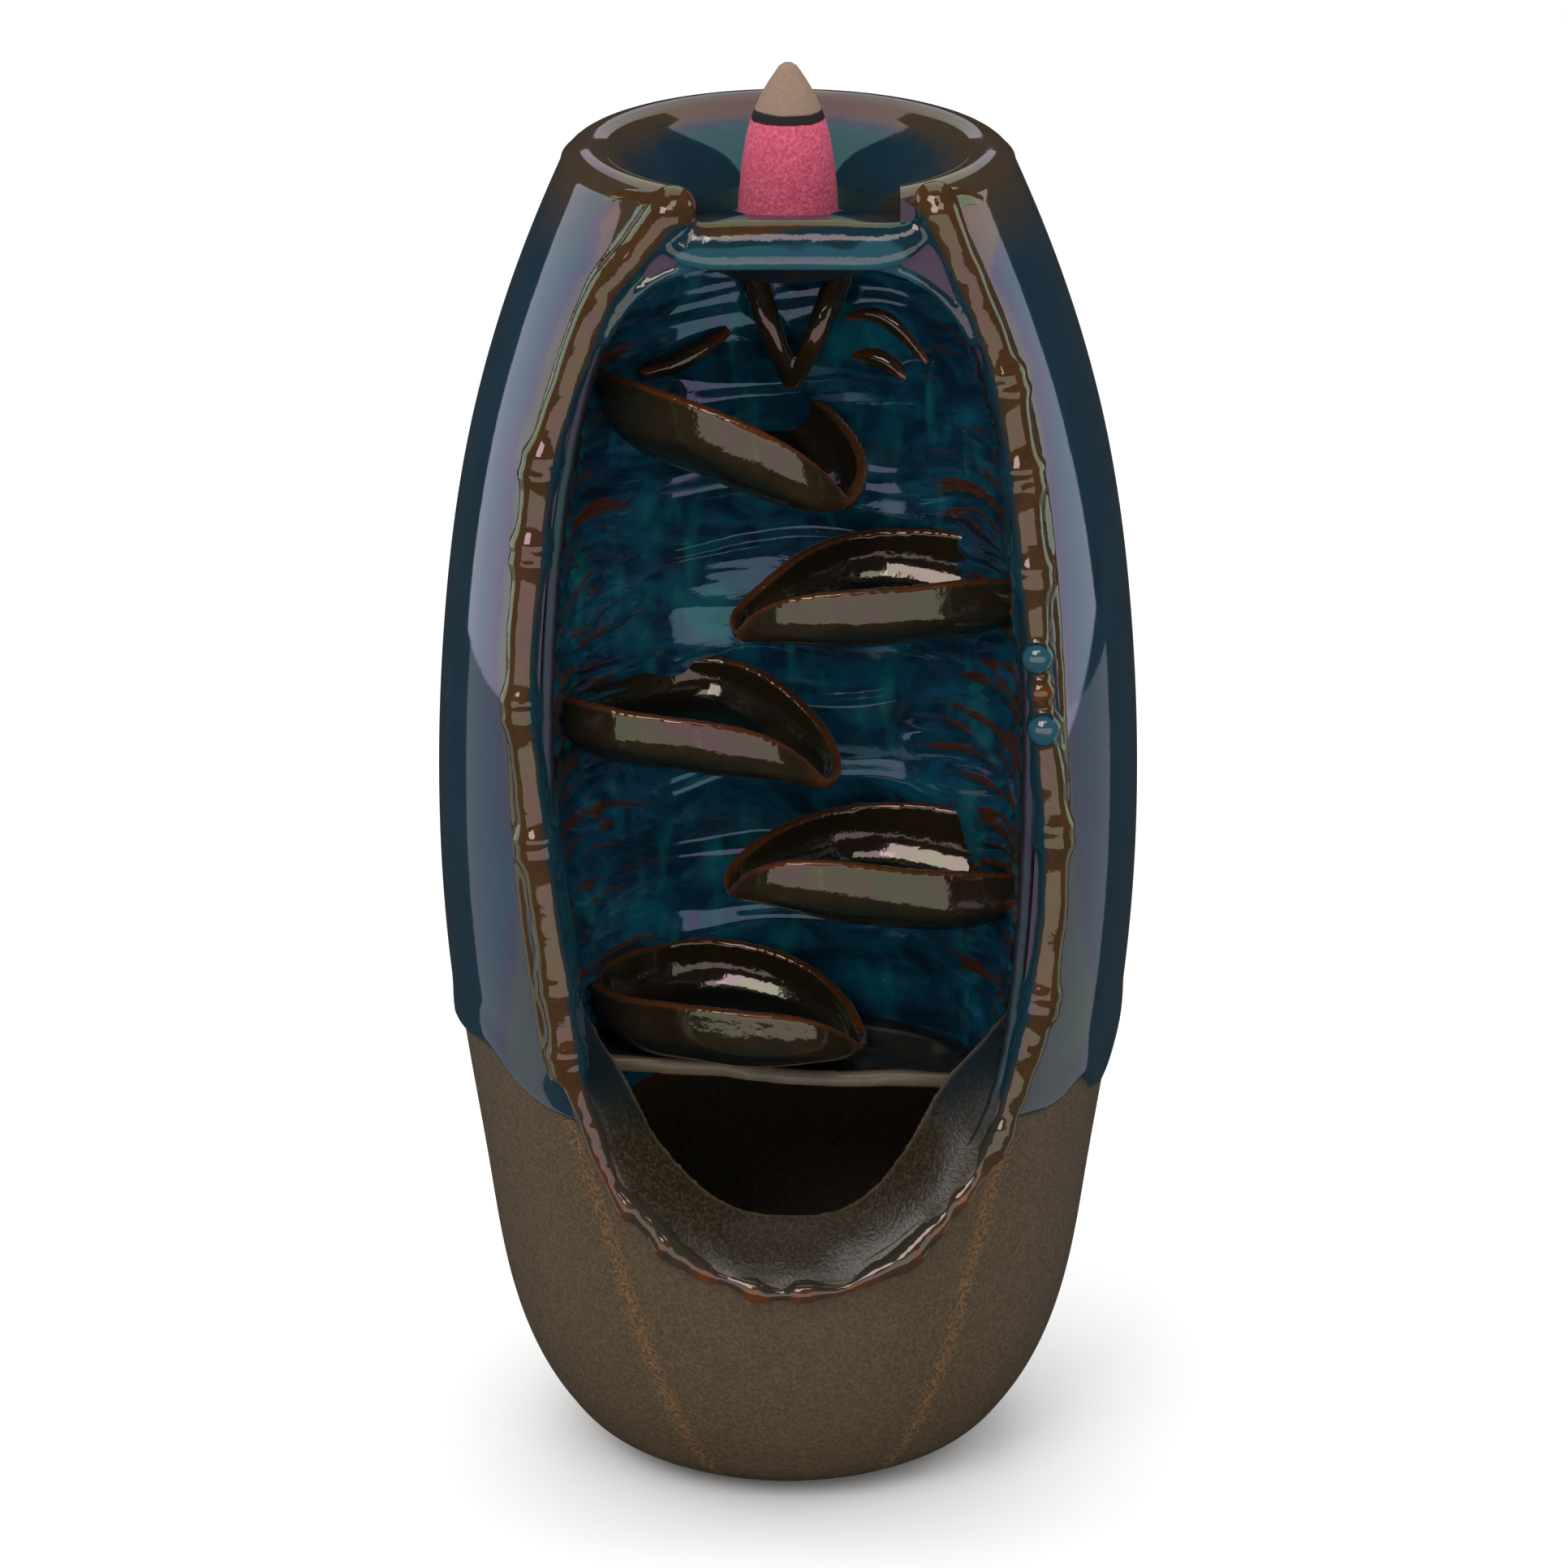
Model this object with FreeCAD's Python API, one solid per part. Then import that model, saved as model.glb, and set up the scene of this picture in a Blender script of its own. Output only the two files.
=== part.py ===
"""A ceramic backflow incense burner with an incense cone standing in its dish.

The burner is one fired piece: an egg-shaped stoneware vase with a dish in its top.
Its front is sliced off, and behind the slice a niche holds a cascade of leaf cups.
Smoke sinks through the hole in the dish, runs from cup to cup, and pools in the hollow foot.
Millimetres, +Z up, the front faces -Y, and the origin is the centre of the foot.
"""

import FreeCAD
import Part

import math
import os

from FreeCAD import Vector

# Vase, outside. What is carved into its front keeps its place on the vase, so heights in
# the tables below are percent of the vase's height.
HEIGHT = 180.0
FOOT_RADIUS = 21.0
RIM_RADIUS = 27.0
RIM_CROWN = 2.4
RIM_BANDS = 5
RIM_END_ANGLE = 150.0
# Radius at each height, from the foot to the rim
VASE = (
    (27.8, 2.0),
    (33.7, 6.0),
    (41.1, 22.0),
    (44.8, 36.0),
    (46.3, 51.1),
    (45.3, 64.0),
    (41.8, 78.0),
    (35.7, 90.0),
    (31.4, 96.1),
)

# How far a straight facet may stray from the curve it stands for
SAG = 0.24

# Smoke pool in the foot: its wall, its floor and its roof
WALL = 4.5
BASE_THICKNESS = 6.0
POOL_SAG = 1.3

# Dish in the top, and its smoke hole
DISH_DEPTH = 11.5
DISH_FLOOR_RADIUS = 9.0
DISH_THICKNESS = 4.5
BOWL_BANDS = 4
HOLE_RADIUS = 3.3
HOLE_Y = -1.0

# Slice that opens the front: how far it lies in front of the axis at each height
SLICE = ((109.0, 22.6), (97.2, 24.6), (83.3, 26.7), (67.8, 29.8), (54.4, 31.6),
         (41.7, 32.8), (33.3, 34.2), (26.7, 36.6), (21.1, 40.2), (15.6, 45.2))

# Opening in the slice: half-width at each height
OPENING_TOP = 94.8
OPENING_BOTTOM = 24.2
OPENING = ((25.4, 85.0), (30.0, 70.6), (30.8, 54.4), (28.2, 40.0), (20.5, 29.4))

# Niche behind the opening
NICHE_BACK_Y = 3.0
NICHE_RADIUS = 33.4
NICHE_SIDES = 18
OPENING_SAG = 0.3

# Shelf under the niche, measured up from the opening's bottom; the smoke pool lies below it
SHELF_RISE = 15.5
SHELF_TILT = 4.0
SHELF_THICKNESS = 4.0
SHELF_FRONT_Y = -20.0

# Leaf cups: end x and z, tip x and z of each
LEAVES = (
    (-24.5, 86.4, 8.0, 76.4),
    (30.5, 71.2, -7.0, 66.6),
    (-30.5, 62.6, 5.5, 55.0),
    (31.0, 49.0, -8.2, 46.2),
    (-27.5, 40.3, 9.6, 34.2),
)
LEAF_WALL = 2.3
LEAF_ARCH = 3.2
LEAF_HALF_WIDTH = 15.6
LEAF_DEPTH = 10.0
LEAF_MIDDLE_Y = -9.0
LEAF_END_Y = -14.5
LEAF_END_SHARE = 0.16
LEAF_STATIONS = 8
LEAF_SIDES = 6

# Spout under the smoke hole: two rims that run down to one lip
SPOUT_LEFT = (-4.6, 2.2, 90.3)
SPOUT_RIGHT = (8.6, 1.6, 88.7)
SPOUT_LIP = (0.8, 1.4, 81.7)
SPOUT_RADIUS = 2.2
SPOUT_TOP_SHARE = 0.8
SPOUT_LIP_SHARE = 0.7
SPOUT_SIDES = 8

# Rock ribs on the niche wall: left x, right x, height at each end, radius
RIBS = (
    (-24.0, -9.0, 89.7, 91.1, 1.7),
    (-14.0, -5.0, 86.7, 89.4, 1.8),
    (9.0, 22.0, 88.9, 86.4, 1.7),
    (12.0, 27.5, 81.1, 79.4, 1.5),
    (-28.5, -13.0, 76.4, 75.3, 1.7),
    (-29.0, -12.0, 72.2, 73.1, 1.6),
    (-28.5, -10.0, 68.1, 67.2, 1.5),
    (10.0, 27.0, 61.9, 61.1, 1.4),
    (-28.5, -12.0, 52.2, 51.4, 1.6),
    (-27.5, -10.0, 46.9, 47.8, 1.5),
    (14.0, 27.0, 39.2, 41.9, 1.5),
    (12.5, 26.0, 36.1, 38.6, 1.5),
)
RIB_SIDES = 6

# Twig moulding round the opening: x and z of its joints, clockwise from the left end
TWIG = (
    (-14.8, 97.8),
    (-23.6, 92.2),
    (-29.4, 82.8),
    (-32.8, 75.0),
    (-34.6, 58.9),
    (-32.8, 48.3),
    (-31.0, 40.6),
    (-26.6, 30.3),
    (-20.2, 24.4),
    (-11.4, 21.2),
    (0.4, 19.9),
    (13.6, 21.3),
    (24.4, 26.4),
    (31.6, 36.7),
    (34.0, 49.4),
    (32.6, 58.3),
    (32.2, 67.8),
    (30.0, 76.1),
    (27.6, 83.1),
    (15.4, 97.8),
)
TWIG_KNUCKLE = 3.1
TWIG_NECK = 2.3
TWIG_LAP = 0.7
TWIG_SINK = 0.4
TWIG_SIDES = 7
# Two beads on the right limb of the twig
BEADS = ((33.0, 59.2), (32.4, 64.4))
BEAD_RADIUS = 3.1
BEAD_BANDS = 6
BEAD_SIDES = 12

# Incense cone
CONE_BASE_RADIUS = 6.7
CONE_MIDDLE_RADIUS = 6.1
CONE_CHAR_RADIUS = 4.6
CONE_CHAR_HEIGHT = 15.2
CONE_HEIGHT = 22.1
CONE_TIP_RADIUS = 1.2
CONE_BANDS = 6
CONE_SIDES = 22
CONE_BORE_RADIUS = 1.9
CONE_BORE_DEPTH = 9.0

REACH = 70.0
SEAM = 0.5


def up(share):
    """The height that is a percent of the vase's height."""
    return HEIGHT * share / 100


def spline(points):
    """A smooth curve through the points."""
    curve = Part.BSplineCurve()
    curve.interpolate(Points=points)
    return curve


def lookup(curve, height):
    """The point where a falling curve reaches a height."""
    low, high = curve.FirstParameter, curve.LastParameter
    for _ in range(40):
        middle = (low + high) / 2
        if curve.value(middle).z > height:
            low = middle
        else:
            high = middle
    return curve.value(low)


def line(x1, z1, x2, z2):
    """A straight edge in the XZ plane."""
    return Part.makeLine(Vector(x1, 0, z1), Vector(x2, 0, z2))


def revolved(edges):
    """The solid that a closed outline in the XZ plane sweeps about the Z axis."""
    face = Part.Face(Part.Wire(edges))
    return face.revolve(Vector(0, 0, 0), Vector(0, 0, 1), 360)


def chords(points, sag):
    """Straight chords along a smooth curve through the points, none straying by more than a sag."""
    corners = spline(points).discretize(Deflection=sag)
    return [(p.x, p.z) for p in corners]


def turned(outline):
    """The solid that a closed outline of radius and height pairs sweeps about the Z axis."""
    return revolved([line(*a, *b) for a, b in zip(outline, outline[1:] + outline[:1])])


SLICE_CURVE = spline([Vector(0, -depth, up(share)) for share, depth in SLICE])
SHELF_HEIGHT = up(OPENING_BOTTOM) + SHELF_RISE
DISH_FLOOR = HEIGHT - DISH_DEPTH


def crown(band):
    """Radius and height of the rounded rim, counted in bands from its outer side to the dish."""
    turn = math.radians(RIM_END_ANGLE * band / RIM_BANDS)
    return RIM_RADIUS + RIM_CROWN * math.cos(turn), HEIGHT - RIM_CROWN * (1 - math.sin(turn))


RIM_INNER = crown(RIM_BANDS)


def bowl_centre():
    """Height of the centre of the sphere that the dish's bowl follows."""
    radius, height = RIM_INNER
    gain = radius ** 2 - DISH_FLOOR_RADIUS ** 2 + height ** 2 - DISH_FLOOR ** 2
    return gain / (2 * (height - DISH_FLOOR))


BOWL_CENTRE = bowl_centre()
BOWL_RADIUS = math.hypot(DISH_FLOOR_RADIUS, BOWL_CENTRE - DISH_FLOOR)


def solid_vase():
    """The vase as a solid lump on a flat foot, with the dish sunk into its top."""
    side = [Vector(FOOT_RADIUS, 0, 0)] + [Vector(r, 0, up(share)) for r, share in VASE]
    side.append(Vector(crown(0)[0], 0, crown(0)[1]))
    rim = [crown(band) for band in range(1, RIM_BANDS + 1)]
    return turned([(0, 0)] + chords(side, SAG) + rim + bowl(0))


def bowl(drop):
    """The dish's side and floor as radius and height pairs, lowered and widened by a thickness."""
    radius = BOWL_RADIUS + drop
    start = math.atan2(RIM_INNER[0], BOWL_CENTRE - RIM_INNER[1])
    stop = math.atan2(DISH_FLOOR_RADIUS, BOWL_CENTRE - DISH_FLOOR)
    turns = [start + (stop - start) * i / BOWL_BANDS for i in range(BOWL_BANDS + 1)]
    side = [(radius * math.sin(t), BOWL_CENTRE - radius * math.cos(t)) for t in turns]
    return side[1:] + [(0, side[-1][1])]


def dish_lump():
    """The dish with its thickness, and everything above it."""
    edge = (RIM_INNER[0] + DISH_THICKNESS, RIM_INNER[1])
    return turned([(0, 2 * HEIGHT), (REACH, 2 * HEIGHT), (REACH, edge[1]), edge] + bowl(DISH_THICKNESS))


def pool():
    """The smoke pool: the hollow foot under the shelf."""
    side = [Vector(r - WALL, 0, up(share)) for r, share in VASE[1:6]]
    outline = [(0, BASE_THICKNESS), (FOOT_RADIUS, BASE_THICKNESS)] + chords(side, POOL_SAG)
    hollow = turned(outline + [(0, outline[-1][1])])
    return hollow.common(below(SHELF_THICKNESS))


def front_block(outline):
    """A front outline driven backwards from in front of the vase."""
    face = Part.Face(outline)
    face.translate(Vector(0, -REACH, 0))
    return face.extrude(Vector(0, 2 * REACH, 0))


def opening():
    """The opening's outline driven through the vase."""
    side = [Vector(x, 0, up(share)) for x, share in OPENING]
    mirror = [Vector(-p.x, 0, p.z) for p in reversed(side)]
    ends = Vector(0, 0, up(OPENING_TOP)), Vector(0, 0, up(OPENING_BOTTOM))
    edge = Part.BSplineCurve()
    edge.interpolate(Points=[ends[0]] + side + [ends[1]] + mirror, PeriodicFlag=True)
    corners = edge.discretize(Deflection=OPENING_SAG)
    return front_block(Part.makePolygon(corners[:-1] + corners[:1]))


def niche_wall_y(x):
    """How far back the niche wall lies at an x."""
    return NICHE_BACK_Y - NICHE_RADIUS + math.sqrt(max(NICHE_RADIUS ** 2 - x ** 2, 0))


def niche_plan():
    """The ground plan of the niche, as a tall block that ends at its rounded back wall."""
    turns = [math.pi * i / NICHE_SIDES for i in range(NICHE_SIDES + 1)]
    across = [NICHE_RADIUS * math.cos(turn) for turn in turns]
    corners = [Vector(x, niche_wall_y(x), 0) for x in across]
    corners += [Vector(-NICHE_RADIUS, -REACH, 0), Vector(NICHE_RADIUS, -REACH, 0)]
    return Part.Face(Part.makePolygon(corners + corners[:1])).extrude(Vector(0, 0, 2 * HEIGHT))


def below(drop):
    """Everything below the shelf's sloping top, lowered by a thickness."""
    left = SHELF_HEIGHT + SHELF_TILT - drop
    right = SHELF_HEIGHT - SHELF_TILT - drop
    corners = [
        Vector(-REACH, 0, left),
        Vector(REACH, 0, right),
        Vector(REACH, 0, -REACH),
        Vector(-REACH, 0, -REACH),
    ]
    return front_block(Part.makePolygon(corners + corners[:1]))


def front_slice():
    """The lump that the slice takes off the front of the vase."""
    corners = [Vector(-REACH, -depth, up(share)) for share, depth in SLICE]
    corners += [Vector(-REACH, -REACH, corners[-1].z), Vector(-REACH, -REACH, corners[0].z)]
    return Part.Face(Part.makePolygon(corners + corners[:1])).extrude(Vector(2 * REACH, 0, 0))


def skin(rings):
    """A solid stretched over rings of points, with triangles between them and flat ends."""
    faces = [Part.Face(Part.makePolygon(ring + ring[:1])) for ring in (rings[0], rings[-1])]
    for low, high in zip(rings, rings[1:]):
        for i in range(len(low)):
            for loop in ([low[i - 1], low[i], high[i]], [low[i - 1], high[i], high[i - 1]]):
                faces.append(Part.Face(Part.makePolygon(loop + loop[:1])))
    return Part.Solid(Part.Shell(faces))


def leaf(placing, inset, lift):
    """A leaf cup as a solid boat, shrunk by an inset; a lift raises its top for a clean cut."""
    end_x, end_share, tip_x, tip_share = placing
    end_z, tip_z = up(end_share), up(tip_share)
    rings = []
    for i in range(LEAF_STATIONS):
        along = (1 - math.cos(math.pi * i / (LEAF_STATIONS - 1))) / 2
        off = 2 * along - 1
        fullness = LEAF_END_SHARE + (1 - LEAF_END_SHARE) * math.sqrt(1 - off ** 2)
        half = LEAF_HALF_WIDTH * fullness - inset
        deep = (LEAF_DEPTH - inset) * fullness
        middle = LEAF_MIDDLE_Y + (LEAF_END_Y - LEAF_MIDDLE_Y) * off ** 2
        x = end_x + (tip_x - end_x) * along
        top = end_z + (tip_z - end_z) * along + LEAF_ARCH * (1 - off ** 2)
        turns = [math.pi * k / LEAF_SIDES for k in range(LEAF_SIDES + 1)]
        ring = [Vector(x, middle - half * math.cos(t), top - deep * math.sin(t)) for t in turns]
        if lift:
            ring += [Vector(x, middle + half, top + lift), Vector(x, middle - half, top + lift)]
        rings.append(ring)
    return skin(rings)


def faceted(start, end, profile, sides):
    """A many-sided bar between two points: its profile gives a radius at each distance."""
    turns = [2 * math.pi * i / sides for i in range(sides)]
    rings = [[Vector(r * math.cos(t), r * math.sin(t), z) for t in turns] for r, z in profile]
    faces = []
    for low, high in zip(rings, rings[1:]):
        for i in range(sides):
            loop = [low[i - 1], low[i], high[i], high[i - 1]]
            loop = [p for k, p in enumerate(loop) if not p.isEqual(loop[k - 1], 1e-6)]
            faces.append(Part.Face(Part.makePolygon(loop + loop[:1])))
    for ring, (radius, _) in ((rings[0], profile[0]), (rings[-1], profile[-1])):
        if radius > 0:
            faces.append(Part.Face(Part.makePolygon(ring + ring[:1])))
    shape = Part.Solid(Part.Shell(faces))
    shape.Placement = FreeCAD.Placement(start, FreeCAD.Rotation(Vector(0, 0, 1), end - start))
    return shape


def twig_bar(start, end):
    """A length of twig: waisted, and lapping past both of its joints."""
    length = (end - start).Length
    profile = ((TWIG_KNUCKLE, -TWIG_LAP), (TWIG_NECK, length / 2), (TWIG_KNUCKLE, length + TWIG_LAP))
    return faceted(start, end, profile, TWIG_SIDES)


def bead(centre):
    """A bead on the twig."""
    reach = Vector(0, 0, BEAD_RADIUS)
    turns = [math.pi * i / BEAD_BANDS for i in range(1, BEAD_BANDS)]
    profile = [(BEAD_RADIUS * math.sin(t), BEAD_RADIUS * (1 - math.cos(t))) for t in turns]
    profile = [(0, 0)] + profile + [(0, 2 * BEAD_RADIUS)]
    return faceted(centre - reach, centre + reach, profile, BEAD_SIDES)


def spout_bar(top, lip):
    """One rim of the spout."""
    length = (lip - top).Length
    start, end = SPOUT_RADIUS * SPOUT_TOP_SHARE, SPOUT_RADIUS * SPOUT_LIP_SHARE
    return faceted(top, lip, ((start, 0), (SPOUT_RADIUS, length / 2), (end, length)), SPOUT_SIDES)


def ribs():
    """The rock ribs: straight bars that break through the curved wall at their middles."""
    bars = []
    for x1, x2, share1, share2, radius in RIBS:
        hump = niche_wall_y((x1 + x2) / 2) - (niche_wall_y(x1) + niche_wall_y(x2)) / 2
        start = Vector(x1, niche_wall_y(x1) + hump, up(share1))
        end = Vector(x2, niche_wall_y(x2) + hump, up(share2))
        length = (end - start).Length
        bars.append(faceted(start, end, ((0, 0), (radius, length / 2), (0, length)), RIB_SIDES))
    return bars


def on_slice(x, share, sink):
    """The point of the slice at an x and a height, sunk towards the axis."""
    return Vector(x, lookup(SLICE_CURVE, up(share)).y + sink, up(share))


def edged_vase():
    """The sliced vase with the twig moulding round its opening."""
    joints = [on_slice(x, share, TWIG_SINK) for x, share in TWIG]
    bars = [twig_bar(a, b) for a, b in zip(joints, joints[1:])]
    beads = [bead(on_slice(x, share, TWIG_SINK)) for x, share in BEADS]
    return solid_vase().cut(front_slice()).multiFuse(bars).multiFuse(beads)


def burner_body():
    """The whole fired piece."""
    cavity = opening().common(niche_plan()).cut(dish_lump())
    front = Part.makeBox(
        2 * REACH, REACH + SHELF_FRONT_Y, 2 * HEIGHT, Vector(-REACH, -REACH, 0)
    )
    niche = cavity.cut(below(0)).fuse(cavity.common(front))
    body = edged_vase().cut(pool()).cut(niche)

    solid_inside = solid_vase().cut(front_slice())
    leaves = Part.makeCompound([leaf(placing, 0, 0) for placing in LEAVES]).common(solid_inside)
    left, right, lip = [Vector(x, y, up(share)) for x, y, share in (SPOUT_LEFT, SPOUT_RIGHT, SPOUT_LIP)]
    spout = [spout_bar(top, lip) for top in (left, right)]
    body = body.multiFuse([leaves] + spout + ribs())
    cups = Part.makeCompound([leaf(placing, LEAF_WALL, LEAF_WALL) for placing in LEAVES])
    body = body.cut(cups.common(cavity))
    hole_start = Vector(0, HOLE_Y, DISH_FLOOR - DISH_THICKNESS - SEAM)
    return body.cut(Part.makeCylinder(HOLE_RADIUS, DISH_DEPTH, hole_start))


def incense_cone():
    """The cone, burning down from its tip, with the blind bore in its base."""
    side = spline([
        Vector(CONE_BASE_RADIUS, 0, 0),
        Vector(CONE_MIDDLE_RADIUS, 0, CONE_CHAR_HEIGHT / 2),
        Vector(CONE_CHAR_RADIUS, 0, CONE_CHAR_HEIGHT),
        Vector(CONE_TIP_RADIUS, 0, CONE_HEIGHT - 0.4 * CONE_TIP_RADIUS),
    ])
    tip = Vector(0, 0, CONE_HEIGHT)
    wall = [(p.x, p.z) for p in side.discretize(Number=CONE_BANDS + 1)]
    wall += [(0.6 * CONE_TIP_RADIUS, CONE_HEIGHT - 0.1 * CONE_TIP_RADIUS), (0, CONE_HEIGHT)]
    cone = faceted(Vector(0, 0, 0), tip, wall, CONE_SIDES)
    cone = cone.cut(Part.makeCylinder(CONE_BORE_RADIUS, CONE_BORE_DEPTH))
    cone.translate(Vector(0, 0, DISH_FLOOR))
    return cone


def main():
    os.makedirs("parts", exist_ok=True)
    body = burner_body()
    print("burner_body", body.isValid(), round(body.Volume), len(body.Solids), len(body.Faces))
    body.exportStep("parts/burner_body.step")
    cone = incense_cone()
    print("incense_cone", cone.isValid(), round(cone.Volume), len(cone.Solids))
    cone.exportStep("parts/incense_cone.step")


if __name__ == "__main__":
    main()
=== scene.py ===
# %% [markdown]
# # A backflow incense burner
# This lesson dresses a ceramic incense burner. The real object is one piece of slip-cast
# stoneware under a reactive glaze, with a loose incense cone in the dish on its top.
# The engineering model is loaded first and fixes every place and size. What follows
# models the glazed skin over it, piece by piece, and then mixes the glazes.

# %% Load the fixed frame
import math

import bpy
import numpy as np
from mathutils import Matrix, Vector, noise


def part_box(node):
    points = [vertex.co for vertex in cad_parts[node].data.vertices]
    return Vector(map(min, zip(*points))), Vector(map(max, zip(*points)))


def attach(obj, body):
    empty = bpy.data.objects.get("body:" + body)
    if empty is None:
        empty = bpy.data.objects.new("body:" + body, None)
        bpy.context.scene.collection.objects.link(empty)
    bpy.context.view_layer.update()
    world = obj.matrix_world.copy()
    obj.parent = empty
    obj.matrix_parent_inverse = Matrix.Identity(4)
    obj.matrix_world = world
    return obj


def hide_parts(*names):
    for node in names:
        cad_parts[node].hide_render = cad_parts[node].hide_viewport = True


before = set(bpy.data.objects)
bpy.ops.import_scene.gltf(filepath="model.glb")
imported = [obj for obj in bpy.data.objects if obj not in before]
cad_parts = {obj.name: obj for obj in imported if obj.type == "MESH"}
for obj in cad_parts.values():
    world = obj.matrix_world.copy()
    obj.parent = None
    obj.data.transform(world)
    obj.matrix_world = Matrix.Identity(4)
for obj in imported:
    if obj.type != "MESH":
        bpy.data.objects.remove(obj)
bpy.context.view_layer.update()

MM = 0.001
BODY_LOW, BODY_HIGH = (np.array(corner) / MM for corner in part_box("burner_body"))
CONE_LOW, CONE_HIGH = (np.array(corner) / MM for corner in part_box("incense_cone"))
print("vase", np.round(BODY_HIGH - BODY_LOW, 1), "cone", np.round(CONE_HIGH - CONE_LOW, 1))

# %% [markdown]
# ## The camera and the light
# The photograph looks straight at the front from 20 degrees above level with a long lens.
# A glossy glaze shows what stands round it more than its own colour, so the lights are
# placed by their mirror images: tall soft boxes at the sides give the long pale streaks,
# a long panel overhead gives the pool of light in the dish, and the ones in front give
# the patches in the niche and the sheen on the leaves.

# %% Camera
CAMERA_DISTANCE = 1.1
CAMERA_RISE = math.radians(20)
AIM_HEIGHT = 0.09
LENS = 190.1
SENSOR_WIDTH = 36.0
SHIFT = (-0.0026, 0.0081)

camera_data = bpy.data.cameras.new("camera")
camera_data.lens = LENS
camera_data.sensor_width = SENSOR_WIDTH
camera_data.shift_x, camera_data.shift_y = SHIFT
camera = bpy.data.objects.new("camera", camera_data)
bpy.context.collection.objects.link(camera)
camera.location = (
    0,
    -CAMERA_DISTANCE * math.cos(CAMERA_RISE),
    AIM_HEIGHT + CAMERA_DISTANCE * math.sin(CAMERA_RISE),
)
camera.rotation_euler = (math.pi / 2 - CAMERA_RISE, 0, 0)
bpy.context.scene.camera = camera
bpy.context.scene.view_settings.view_transform = "Standard"
print("camera at", [round(c, 3) for c in camera.location])


# %% Soft boxes
# Name, place, the point that it faces, width and height in metres, watts, and roll in degrees
SOFT_BOXES = (
    ("side_left", (-0.225, 0.065, 0.165), (0, 0, 0.165), (0.16, 0.21), 0.135, 0),
    ("side_right", (0.225, 0.034, 0.165), (0, 0, 0.165), (0.1, 0.21), 0.085, 13),
    ("side_low_left", (-0.225, 0.055, -0.05), (0, 0, -0.05), (0.15, 0.22), 0.045, 0),
    ("front_left", (-0.235, -0.497, 0.052), (0, 0, 0.09), (0.52, 0.33), 0.46, 0),
    ("side_low_right", (0.225, 0.055, -0.05), (0, 0, -0.05), (0.15, 0.22), 0.045, 0),
    ("front_right", (0.235, -0.497, 0.052), (0, 0, 0.09), (0.52, 0.33), 0.46, 0),
    ("overhead", (0, 0.36, 0.52), (0, 0.27, 0.13), (0.44, 0.9), 1.05, 0),
    ("above_front", (0.05, -0.42, 0.6), (0, 0, 0.12), (0.3, 0.14), 0.26, 0),
    ("key", (-0.35, -0.7, 0.75), (0, 0, 0.09), (0.5, 0.5), 3, 0),
)


def soft_box(name, place, aim, size, watts, roll):
    """A rectangular light that faces a point, and that the camera doesn't see."""
    data = bpy.data.lights.new(name, "AREA")
    data.shape = "RECTANGLE"
    data.size, data.size_y = size
    data.energy = watts
    lamp = bpy.data.objects.new(name, data)
    bpy.context.collection.objects.link(lamp)
    lamp.location = place
    lamp.rotation_euler = (Vector(aim) - Vector(place)).to_track_quat("-Z", "Y").to_euler()
    lamp.rotation_euler.rotate_axis("Z", math.radians(roll))
    lamp.visible_camera = False


for settings in SOFT_BOXES:
    soft_box(*settings)
print(len(SOFT_BOXES), "soft boxes")

# %% [markdown]
# ## Small tools
# Everything below is modelled as by hand: a primitive, a few moves in edit mode, and
# modifiers. These helpers keep each such step to one line, and measure in millimetres.
# A new primitive comes selected all over, so everything is deselected before it.


# %% Modelling helpers
def deselect():
    """Select nothing."""
    bpy.ops.object.select_all(action="DESELECT")


def pick(piece):
    """Select one object and nothing else."""
    deselect()
    piece.select_set(True)
    bpy.context.view_layer.objects.active = piece


def edit(piece):
    """Open an object in edit mode with all of it selected."""
    pick(piece)
    bpy.ops.object.mode_set(mode="EDIT")
    bpy.ops.mesh.select_all(action="SELECT")


def close_edit():
    """Merge doubles, turn the faces outwards, and leave edit mode."""
    bpy.ops.mesh.select_all(action="SELECT")
    bpy.ops.mesh.remove_doubles(threshold=0.001 * MM)
    bpy.ops.mesh.normals_make_consistent(inside=False)
    bpy.ops.object.mode_set(mode="OBJECT")


def modify(piece, kind, **settings):
    """Add a modifier, set it and apply it."""
    pick(piece)
    modifier = piece.modifiers.new(kind.lower(), kind)
    for setting, value in settings.items():
        setattr(modifier, setting, value)
    bpy.ops.object.modifier_apply(modifier=modifier.name)


def called(name):
    """The object at hand, given its name."""
    piece = bpy.context.object
    piece.name = piece.data.name = name
    return piece


# %% Reading and writing vertices
def points_of(piece):
    """All vertices of a piece, in millimetres."""
    flat = np.empty(3 * len(piece.data.vertices))
    piece.data.vertices.foreach_get("co", flat)
    return flat.reshape(-1, 3) / MM


def place_points(piece, points):
    """Move all vertices of a piece to new places in millimetres."""
    piece.data.vertices.foreach_set("co", (points * MM).ravel())
    piece.data.update()


def keep_values(piece, name, values):
    """Store one number per vertex for the glaze to read."""
    layer = piece.data.attributes.get(name) or piece.data.attributes.new(name, "FLOAT", "POINT")
    layer.data.foreach_set("value", np.asarray(values, dtype=np.float32))


def grid(name, columns, rows):
    """A flat grid to shape, with where each vertex lies along it and across it, from -1 to 1."""
    deselect()
    bpy.ops.mesh.primitive_grid_add(
        x_subdivisions=columns, y_subdivisions=rows, size=2, location=(0, 0, 0)
    )
    piece = called(name)
    flat = points_of(piece) * MM
    return piece, flat[:, 0], flat[:, 1]


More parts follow.
